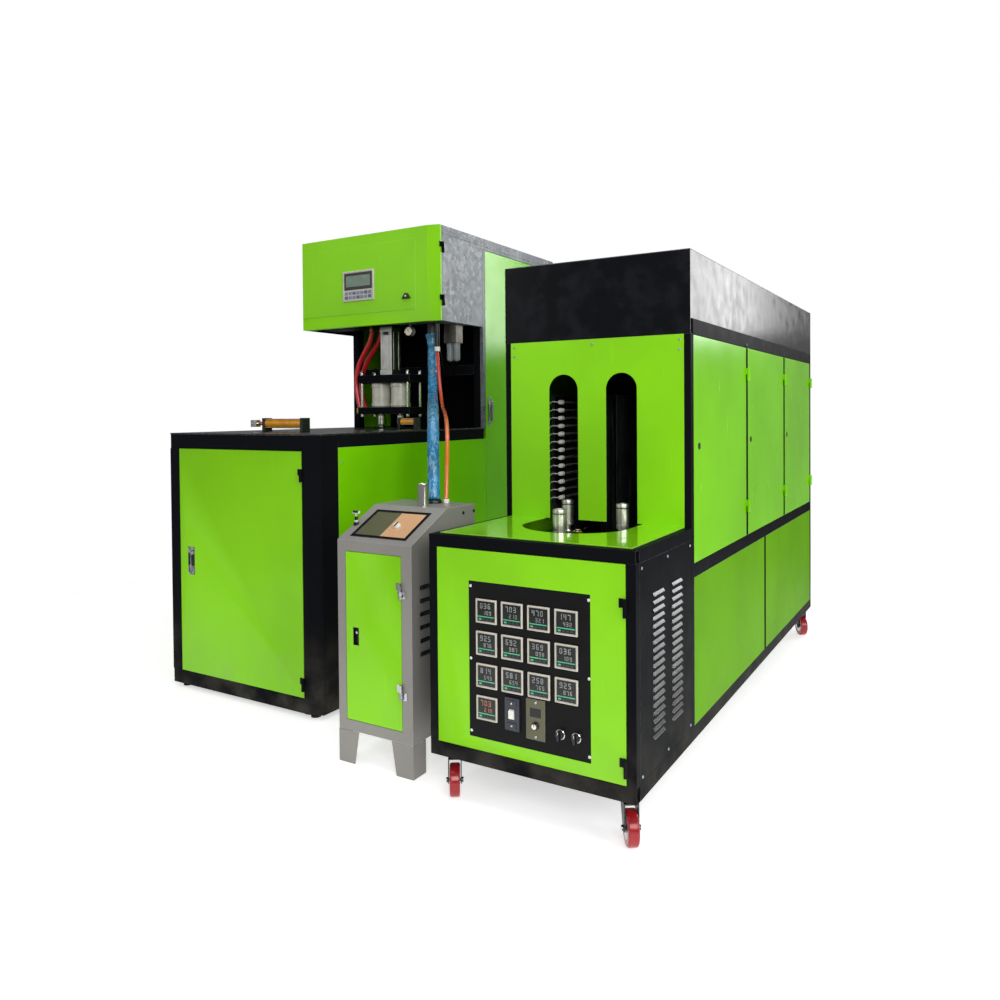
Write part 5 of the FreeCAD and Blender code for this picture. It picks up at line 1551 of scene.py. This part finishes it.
class Manifold:
    """Air block, filter bowls, gauge, valves and thin tubes."""

    def build(self) -> None:
        """Make the manifold's pieces."""
        piece = Piece("air_manifold_group", "machine", "bare_steel", ["air_manifold"])
        piece.copy("air_manifold", self._finish, 1.6 * MM)
        for x in (782, 822):
            bowl = [(0, 0), (8, 0.5), (14.5, 5), (16.4, 12), (16.4, 74), (17.4, 76), (17.4, 88), (15, 89)]
            piece.add(BOWL, lathe([(r * MM, h * MM) for r, h in bowl], PRESS.at(x, 1036, 1450), sides=32))
            piece.add(BLACK_PLASTIC, disc(PRESS.at(x, 1036, 1446), UP, 5 * MM, 6 * MM, 1 * MM, 16))
        rim = [(0, 0), (23.5, 0), (24, 2), (24, 10), (22, 12), (20.5, 11), (20.5, 9), (0, 9)]
        piece.add(BRASS, lathe([(r * MM, h * MM) for r, h in rim], PRESS.at(640, 893, 1596), FRONT, 48))
        piece.add(WHITE_PLASTIC, disc(PRESS.at(640, 884.5, 1596), FRONT, 20 * MM, 1 * MM, 0.0, 40))
        piece.add(BLACK_PLASTIC, slab([(-1 * MM, -5 * MM), (1 * MM, -5 * MM), (0.3 * MM, 16 * MM), (-0.3 * MM, 16 * MM)],
                                      PRESS.at(640, 883.3, 1596), (0.8, 0.0, 0.6), (-0.6, 0.0, 0.8), 0.5 * MM))
        piece.add(WHITE_PLASTIC, hexagon(PRESS.at(813, 882, 1489.5), UP, 14, 22))
        for x in (700, 716, 732):
            piece.add(BLACK_PLASTIC, press_box(x - 6, x + 6, 980, 1000, 1596, 1633, 1.5))
            piece.add(BRASS, hexagon(PRESS.at(x, 990, 1590), UP, 5, 6))
        for i, (x, drop) in enumerate(((700, 150), (716, 110), (732, 170))):
            line = [(x, 990, 1592), (x, 990, 1560), (x + 10, 1020, 1540 - drop * 0.3), (x - 14 * i, 1090, 1560 - drop),
                    (x - 20, 1180, 1600 - drop), (x - 24, 1205, 1630)]
            piece.add(BLACK_PLASTIC, tube_along([PRESS.at(*p) for p in line], 3 * MM, 8))
        piece.done()

    @staticmethod
    def _finish(low: Vector, high: Vector) -> Finish:
        """Zinc deck, cast block, black large port and white small one."""
        reach = high - low
        if reach.z < 0.01:
            return ZINC
        if low.x > -0.335 and low.y < -0.12:
            return BLACK_PLASTIC
        if reach.y > 0.045 and low.y < -0.06:
            return BLACK_PLASTIC
        return CAST_GREY if reach.z > 0.0905 or reach.x > 0.05 else BOWL


class TableCylinders:
    """Amber cylinders on the press table and the rod of the front one."""

    def build(self) -> None:
        """Make barrels, caps and rod."""
        piece = Piece("table_cylinder_barrels", "machine", "amber_plastic", ["amber_cylinders"])
        piece.copy("amber_cylinders", lambda low, high: AMBER if high.x - low.x > 0.05 else BLACK_PLASTIC, 1.6 * MM)
        for x0, x1, y, z, r in ((238, 488, 332, 1152, 25), (583, 694, 882, 1152, 20)):
            piece.add(STEEL, disc(PRESS.at(x0 + 14, y, z), RIGHT, (r - 12) * MM, (x1 - x0 - 28) * MM, 0.0, 20))
            for dy in (-1, 1):
                for dz in (-1, 1):
                    spot = PRESS.at(x0 + 4, y + dy * (r - 5), z + dz * (r - 7))
                    piece.add(STEEL, disc(spot, RIGHT, 2.2 * MM, (x1 - x0 - 8) * MM, 0.0, 10))
        piece.done()
        rod_piece = Piece("table_cylinder_clevis", "table_cylinder_rod", "bright_steel", ["table_cylinder_rod"])
        rod_piece.copy("table_cylinder_rod", TURNED, 1.0 * MM)
        rod_piece.add(RED_HOSE, disc(PRESS.at(196, 332, 1152), RIGHT, 9 * MM, 12 * MM, 1.5 * MM, 28))
        rod_piece.done()


class MouldSet:
    """Mould halves on their platens, guide bars and ram blocks."""

    def build(self) -> None:
        """Make halves and guides."""
        for side in ("front", "rear"):
            half = Piece(f"mould_{side}_block", f"mould_half_{side}", "aluminium", [f"mould_half_{side}"])
            half.copy(f"mould_half_{side}", lambda low, high: SATIN_ALUMINIUM if high.y - low.y < 0.2 else OILED_STEEL)
            half.done()
        guides = Piece("mould_guide_bars", "machine", "black_iron", ["mould_guides"])
        guides.copy("mould_guides", lambda low, high: STEEL if high.x - low.x < 0.045 else FRAME_BLACK, 2.0 * MM)
        guides.done()


@dataclass(frozen=True)
class AirSize:
    """Air cabinet, in millimetres."""

    width: float = 318.0
    depth: float = 383.0
    foot: float = 112.0
    lip: float = 765.0
    top: float = 865.0
    slope: float = 202.0
    door: tuple[float, float, float, float] = (36.0, 276.0, 150.0, 728.0)

    @property
    def tilt(self) -> float:
        """Angle of the sloping panel in radians."""
        return math.atan2(self.top - self.lip, self.slope)


class AirCabinet:
    """Small grey cabinet with a sloping panel, a door, a valve and hose fittings."""

    def __init__(self, size: AirSize = AirSize()) -> None:
        """Keep the sizes."""
        self.size = size

    def build(self) -> None:
        """Make every piece of the cabinet."""
        self._shell()
        self._panels()
        door = Piece("air_cabinet_door", "air_door", "green_paint", ["air_door"])
        door.copy("air_door", self._door_finish, 2.0 * MM)
        door.add(STEEL, disc(AIR.at(80.5, 7, 452), FRONT, 5 * MM, 4 * MM, 0.8 * MM))
        door.done()
        self._fittings()
        valve = Piece("air_valve_handle", "valve_handle", "bright_steel", ["valve_handle"])
        valve.copy("valve_handle", WHITE_PLASTIC, 1.2 * MM)
        valve.add(BLACK_PLASTIC, disc(AIR.at(0, 84, 849), RIGHT, 5.2 * MM, 28 * MM, 1.5 * MM))
        valve.done()

    @staticmethod
    def _door_finish(low: Vector, high: Vector) -> Finish:
        """Grey door sheet in lime, black pull, silver leaves."""
        if low.x < 0.13 and is_small(low, high, 0.1):
            return BLACK_PLASTIC
        return STEEL if is_small(low, high) else FRONT_GREEN

    def _tilted(self, part: Mesh) -> Mesh:
        """Move a part drawn flat (across, up the slope, out) to the sloping panel."""
        size = self.size
        turn = Matrix.Rotation(size.tilt, 4, "X")
        start = Vector(AIR.at(0, 0, size.lip))
        bmesh.ops.transform(part, matrix=Matrix.Translation(start) @ turn, verts=part.verts)
        return part

    def _shell(self) -> None:
        """Folded body with a pocket behind the door, its legs, and black louvre lips that paint the shade of the slots.
        """
        size = self.size
        piece = Piece("air_cabinet_body", "machine", "grey_paint", ["air_cabinet_shell"])
        side = [(0, size.foot), (0, size.lip), (size.slope, size.top), (size.depth, size.top), (size.depth, size.foot)]
        outline = [(y * MM, z * MM) for y, z in side]
        body = slab(outline, AIR.at(0, 0, 0), BACK, UP, size.width * MM, 3.0 * MM)
        body.normal_update()
        x0, x1, z0, z1 = size.door
        front = max((f for f in body.faces if f.normal.y < -0.99), key=lambda f: f.calc_area())
        corners = [body.verts.new(AIR.at(x, 0, z)) for x, z in ((x0, z0), (x1, z0), (x1, z1), (x0, z1))]
        outer = sorted(front.verts, key=lambda v: (v.co.z > 0.4, v.co.x))
        rim = [outer[0], outer[1], outer[3], outer[2]]
        worn = list(front.verts)
        if len(worn) == 4:
            bmesh.ops.delete(body, geom=[front], context="FACES_ONLY")
            inner = [body.verts.new(AIR.at(x, size.depth - 6, z)) for x, z in ((x0, z0), (x1, z0), (x1, z1), (x0, z1))]
            for i in range(4):
                j = (i + 1) % 4
                body.faces.new((rim[i], rim[j], corners[j], corners[i]))
                body.faces.new((corners[i], corners[j], inner[j], inner[i]))
            body.faces.new(inner)
            bmesh.ops.recalc_face_normals(body, faces=body.faces)
        piece.add(CABINET_GREY, body)
        for x, reach, taper in ((0, 70, 89), (size.width, size.width - 70, size.width - 89)):
            for y in (0, size.depth - 2):
                leg = [(x * MM, 0.0), (reach * MM, 0.0), (taper * MM, size.foot * MM), (x * MM, size.foot * MM)]
                piece.add(CABINET_GREY, slab(leg, AIR.at(0, y + 2, 0), RIGHT, UP, 2 * MM, 0.4 * MM))
            edge = min(x, abs(x - 2))
            piece.add(CABINET_GREY, block(AIR.at(edge, 2, 0), AIR.at(edge + 2, 70, size.foot), 0.4 * MM),
                      block(AIR.at(edge, size.depth - 70, 0), AIR.at(edge + 2, size.depth - 2, size.foot), 0.4 * MM))
        # Black lips on the grey side: painted shade of the louvre slots.
        for i in range(6):
            z = 396 + i * 44
            lip = [(-1.0, 12.0), (5.5, 7.0), (6.0, 3.0), (5.0, -1.0), (-1.0, -3.0)]
            piece.add(SHEET_BLACK, slab([(u * MM, v * MM) for u, v in lip], AIR.at(size.width, 94, z), RIGHT, UP,
                                        50 * MM, 1.0 * MM))
        for y in (312, 380):
            piece.add(BLACK_PLASTIC, disc(AIR.at(size.width, y - 6, 839), RIGHT, 6 * MM, 2 * MM, 0.6 * MM))
        piece.done()

    def _panels(self) -> None:
        """Window frame with its two plates and the knob."""
        piece = Piece("air_cabinet_panel", "machine", "olive_paint", ["air_panels"])
        for x0, x1, y0, y1 in ((40, 278, 24, 36), (40, 278, 178, 190), (40, 52, 36, 178), (266, 278, 36, 178)):
            piece.add(FRAME_BLACK, self._tilted(block((x0 * MM, y0 * MM, -4 * MM), (x1 * MM, y1 * MM, 2 * MM), 0.8 * MM)))
        for x0, x1, tint in ((52, 159, OLIVE), (159.6, 266, PEACH)):
            piece.add(tint, self._tilted(block((x0 * MM, 36 * MM, -3 * MM), (x1 * MM, 178 * MM, 0.6 * MM), 0.6 * MM)))
        piece.done()
        knob = Piece("air_panel_selector", "air_panel_knob", "white_plastic", ["air_panel_knob"])
        base = [(0, 0.6), (13.5, 0.6), (13.5, 3), (12, 8), (11, 9), (0, 9)]
        knob.add(WHITE_PLASTIC, self._tilted(lathe([(r * MM, h * MM) for r, h in base],
                                                   (190 * MM, 100 * MM, 0.0), UP, 36)))
        knob.add(BLACK_PLASTIC, self._tilted(block((187.5 * MM, 88 * MM, 7 * MM), (192.5 * MM, 112 * MM, 11 * MM), 1 * MM)))
        knob.done()

    def _fittings(self) -> None:
        """Steel stub, black ring foot of the large hose and the small fitting."""
        size = self.size
        piece = Piece("air_cabinet_fittings", "machine", "bright_steel", ["air_fittings"])
        stub = [(16.5, 0), (19.5, 0), (19.5, 78), (18.7, 80), (17, 80), (16.5, 78), (16.5, 0)]
        piece.add(TURNED, lathe([(r * MM, h * MM) for r, h in stub], AIR.at(200, 226, size.top), sides=48))
        piece.add(BLACK_PLASTIC, lathe([(0, 0), (28 * MM, 0), (28 * MM, 9 * MM), (25 * MM, 13 * MM), (0, 13 * MM)],
                                       AIR.at(178, 323, size.top), sides=48))
        piece.add(WHITE_PLASTIC, hexagon(AIR.at(218, 344, size.top), UP, 12, 15))
        piece.add(BLACK_PLASTIC, disc(AIR.at(14, 84, 800), UP, 10 * MM, 14 * MM, 2 * MM),
                  disc(AIR.at(14, 84, 812), UP, 6 * MM, 22 * MM, 1 * MM))
        piece.done()


class HingeSeats:
    """Fixed halves of every hinge, in the colour of the sheet that holds them."""

    def build(self) -> None:
        """Copy the one CAD node and give each solid the colour of its cabinet."""
        piece = Piece("hinge_fixed_halves", "machine", "green_paint", ["hinge_seats"])
        piece.copy("hinge_seats", self._finish, 1.2 * MM).done()

    @staticmethod
    def _finish(low: Vector, high: Vector) -> Finish:
        """Green on the tunnel, silver on the air cabinet, black elsewhere."""
        if low.x > 1.11:
            return SHADED_SIDE_GREEN
        return STEEL if 0.2 < low.x < 0.4 else FRAME_BLACK


@dataclass(frozen=True)
class HoseRoute:
    """Middle line of a hose in millimetres of the whole set."""

    name: str
    node: str
    diameter: float
    length: float
    points: tuple[Point, ...]
    stiffness: str = "stiff"


BLUE = HoseRoute("blue_feed_hose", "blue_hose", 44, 1379, (
    (-387, -69, 1575), (-366, -98, 1406), (-292, -201, 1288), (-194, -337, 1244), (-94, -478, 1230), (7, -617, 1212),
    (104, -754, 1170), (181, -861, 1060), (204, -893, 878)))
RED = HoseRoute("red_feed_tube", "red_hose", 16, 1240, (
    (-321, -120, 1490), (-296, -145, 1375), (-221, -234, 1262), (-130, -353, 1215), (-34, -481, 1203),
    (62, -609, 1186), (155, -733, 1148), (226, -834, 1050), (244, -872, 880)))
SEAL_FRONT = HoseRoute("seal_front_tube", "seal_hose_front", 24, 430, (
    (-796, -30, 1622), (-810, -30, 1566), (-852, -30, 1508), (-894, -30, 1444), (-908, -30, 1368), (-904, -30, 1294),
    (-884, -30, 1222)))
SEAL_BACK = HoseRoute("seal_back_tube", "seal_hose_back", 24, 444, (
    (-770, 14, 1622), (-788, 14, 1566), (-838, 14, 1508), (-886, 14, 1446), (-910, 14, 1372), (-912, 14, 1296),
    (-884, 14, 1222)))


class Hoses:
    """The four hoses between the cabinets and inside the press."""

    def build(self) -> None:
        """Make each hose along its route."""
        self._smooth(RED, TUBE_RED)
        self._smooth(SEAL_FRONT, RED_HOSE)
        self._smooth(SEAL_BACK, RED_HOSE)
        self._wrapped(BLUE)
        cuff = Piece("blue_hose_cuff", "machine", "blue_hose")
        flare = [(24, -52), (25, -40), (26.5, -34), (25, -26), (30, -14), (34, -4), (33, -1), (24, -1)]
        cuff.add(WRAP, lathe([(r * MM, h * MM) for r, h in flare], (-0.387, -0.069, 1.575), (-0.12, 0.17, 1.0), 40))
        cuff.done(60)

    @staticmethod
    def _points(route: HoseRoute) -> list[Point]:
        """Route in metres."""
        return [(x * MM, y * MM, z * MM) for x, y, z in route.points]

    def _declare(self, piece: Any, route: HoseRoute) -> None:
        """Attach a finished hose to the machine and state what it is."""
        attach(piece, "machine")
        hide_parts(route.node)
        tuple(self._points(route)[0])
        LOG.info("%-26s %6.0f mm", route.name, route.length)

    def _smooth(self, route: HoseRoute, finish: Finish) -> None:
        """A smooth tube as one open curve."""
        piece = spline(route.name, self._points(route), route.diameter / 2 * MM, 8)
        piece.data.resolution_u = 14
        piece.data.materials.append(finish.material())
        self._declare(piece, route)

    def _wrapped(self, route: HoseRoute) -> None:
        """The large hose: a fine tube with its wrap creased by noise."""
        bare = spline("route", self._points(route), 0.0, 0)
        bare.data.resolution_u = 36
        line = bpy.data.meshes.new_from_object(bare)
        path = [tuple(v.co) for v in line.vertices]
        bpy.data.objects.remove(bare)
        round_line = spline("skin", self._points(route), route.diameter / 2 * MM, 22)
        round_line.data.resolution_u = 44
        mesh = bpy.data.meshes.new_from_object(round_line)
        bpy.data.objects.remove(round_line)
        skin = bmesh.new()
        skin.from_mesh(mesh)
        bmesh.ops.remove_doubles(skin, verts=skin.verts, dist=1e-6)
        bmesh.ops.recalc_face_normals(skin, faces=skin.faces)
        skin.normal_update()
        for vert in skin.verts:
            place = vert.co
            stretched = Vector((place.x * 26, place.y * 26, place.z * 18))
            crease = abs(noise.noise(stretched * 2.2)) * 2.2 + noise.noise(place * 46) * 0.6
            vert.co = place + vert.normal * (0.7 - crease) * 1.5 * MM
        made = bpy.data.meshes.new(route.name)
        skin.to_mesh(made)
        skin.free()
        made.materials.append(WRAP.material())
        made.shade_smooth()
        piece = bpy.data.objects.new(route.name, made)
        bpy.context.scene.collection.objects.link(piece)
        self._declare(piece, route)


@dataclass(frozen=True)
class CameraSetting:
    """Where the camera stands and how it looks."""

    place: Point = (1.9331, -3.3067, 1.1979)
    yaw: float = 30.8952
    pitch: float = -1.0149
    roll: float = -0.4618
    lens: float = 29.135
    shift: float = -0.0741


class Studio:
    """Camera, pale floor and soft lights."""

    def __init__(self, setting: CameraSetting = CameraSetting()) -> None:
        """Keep the camera's setting."""
        self.setting = setting

    def camera(self) -> None:
        """Make the camera."""
        setting = self.setting
        yaw, pitch, roll = (math.radians(a) for a in (setting.yaw, setting.pitch, setting.roll))
        look = Vector((-math.sin(yaw) * math.cos(pitch), math.cos(yaw) * math.cos(pitch), math.sin(pitch)))
        right = look.cross(Vector((0, 0, 1))).normalized()
        up = right.cross(look)
        across = right * math.cos(roll) + up * math.sin(roll)
        rise = -right * math.sin(roll) + up * math.cos(roll)
        data = bpy.data.cameras.new("camera")
        data.lens = setting.lens
        data.sensor_width = 36.0
        data.shift_y = setting.shift
        data.clip_start, data.clip_end = 0.05, 60.0
        made = bpy.data.objects.new("camera", data)
        turn = Matrix((across, rise, -look)).transposed().to_4x4()
        made.matrix_world = Matrix.Translation(Vector(setting.place)) @ turn
        bpy.context.scene.collection.objects.link(made)
        bpy.context.scene.camera = made

    def build(self) -> None:
        """Make the floor, the world and the lights."""
        floor = bpy.data.meshes.new("floor")
        reach = 14.0
        floor.from_pydata([(-reach, -reach, 0), (reach, -reach, 0), (reach, reach, 0), (-reach, reach, 0)], [],
                          [(0, 1, 2, 3)])
        floor.materials.append(FloorPaint().material())
        ground = bpy.data.objects.new("floor", floor)
        bpy.context.scene.collection.objects.link(ground)
        self._world()
        self._light("key", (3.3, -4.6, 2.8), (0.6, -0.8, 0.7), 2.2, 2.2, 120)
        self._light("fill", (-3.4, -5.0, 2.4), (-0.4, 0.0, 0.9), 3.0, 2.4, 26)
        self._light("top", (0.2, -0.4, 4.6), (0.2, 0.0, 0.0), 4.2, 4.2, 90)
        self._light("side", (5.2, -2.0, 2.4), (1.1, 0.2, 0.9), 2.4, 2.4, 90)
        self._light("window", (3.35, 5.0, 3.0), (3.35, 0.0, 3.0), 2.1, 2.1, 105)
        bpy.context.scene.view_settings.view_transform = "Standard"

    @staticmethod
    def _world() -> None:
        """White to the camera, grey to everything else."""
        world = bpy.data.worlds.new("studio")
        world.use_nodes = True
        tree = world.node_tree
        tree.nodes.clear()
        rays = tree.nodes.new("ShaderNodeLightPath")
        dim = tree.nodes.new("ShaderNodeBackground")
        dim.inputs[0].default_value = (1, 1, 1, 1)
        dim.inputs[1].default_value = 0.24
        bright = tree.nodes.new("ShaderNodeBackground")
        bright.inputs[0].default_value = (1, 1, 1, 1)
        bright.inputs[1].default_value = 1.0
        mix = tree.nodes.new("ShaderNodeMixShader")
        out = tree.nodes.new("ShaderNodeOutputWorld")
        tree.links.new(rays.outputs["Is Camera Ray"], mix.inputs[0])
        tree.links.new(dim.outputs[0], mix.inputs[1])
        tree.links.new(bright.outputs[0], mix.inputs[2])
        tree.links.new(mix.outputs[0], out.inputs[0])
        bpy.context.scene.world = world

    @staticmethod
    def _light(name: str, place: Point, target: Point, wide: float, high: float, power: float) -> None:
        """Make one area light.

        Args:
            name: Its name.
            place: Where it stands.
            target: What it points at.
            wide: Its width in metres.
            high: Its height in metres.
            power: Its power in watts.
        """
        data = bpy.data.lights.new(name, "AREA")
        data.shape = "RECTANGLE"
        data.size, data.size_y = wide, high
        data.energy = power
        made = bpy.data.objects.new(name, data)
        made.location = place
        made.rotation_mode = "QUATERNION"
        made.rotation_quaternion = (Vector(target) - Vector(place)).to_track_quat("-Z", "Y")
        made.visible_camera = False
        bpy.context.scene.collection.objects.link(made)


def main() -> None:
    """Build the camera, the hoses, every sub-assembly and the studio."""
    logging.basicConfig(level=logging.INFO, format="%(name)s: %(message)s")
    studio = Studio()
    studio.camera()
    for assembly in (Hoses(), OvenCabinet(), PreformConveyor(), LampBank(), ControlDoor(), SideDoors(), Casters(),
                     PressCabinet(), PressHead(), SealHead(), Manifold(), TableCylinders(), MouldSet(), AirCabinet(),
                     HingeSeats()):
        assembly.build()
    studio.build()


if __name__ == "__main__":
    main()
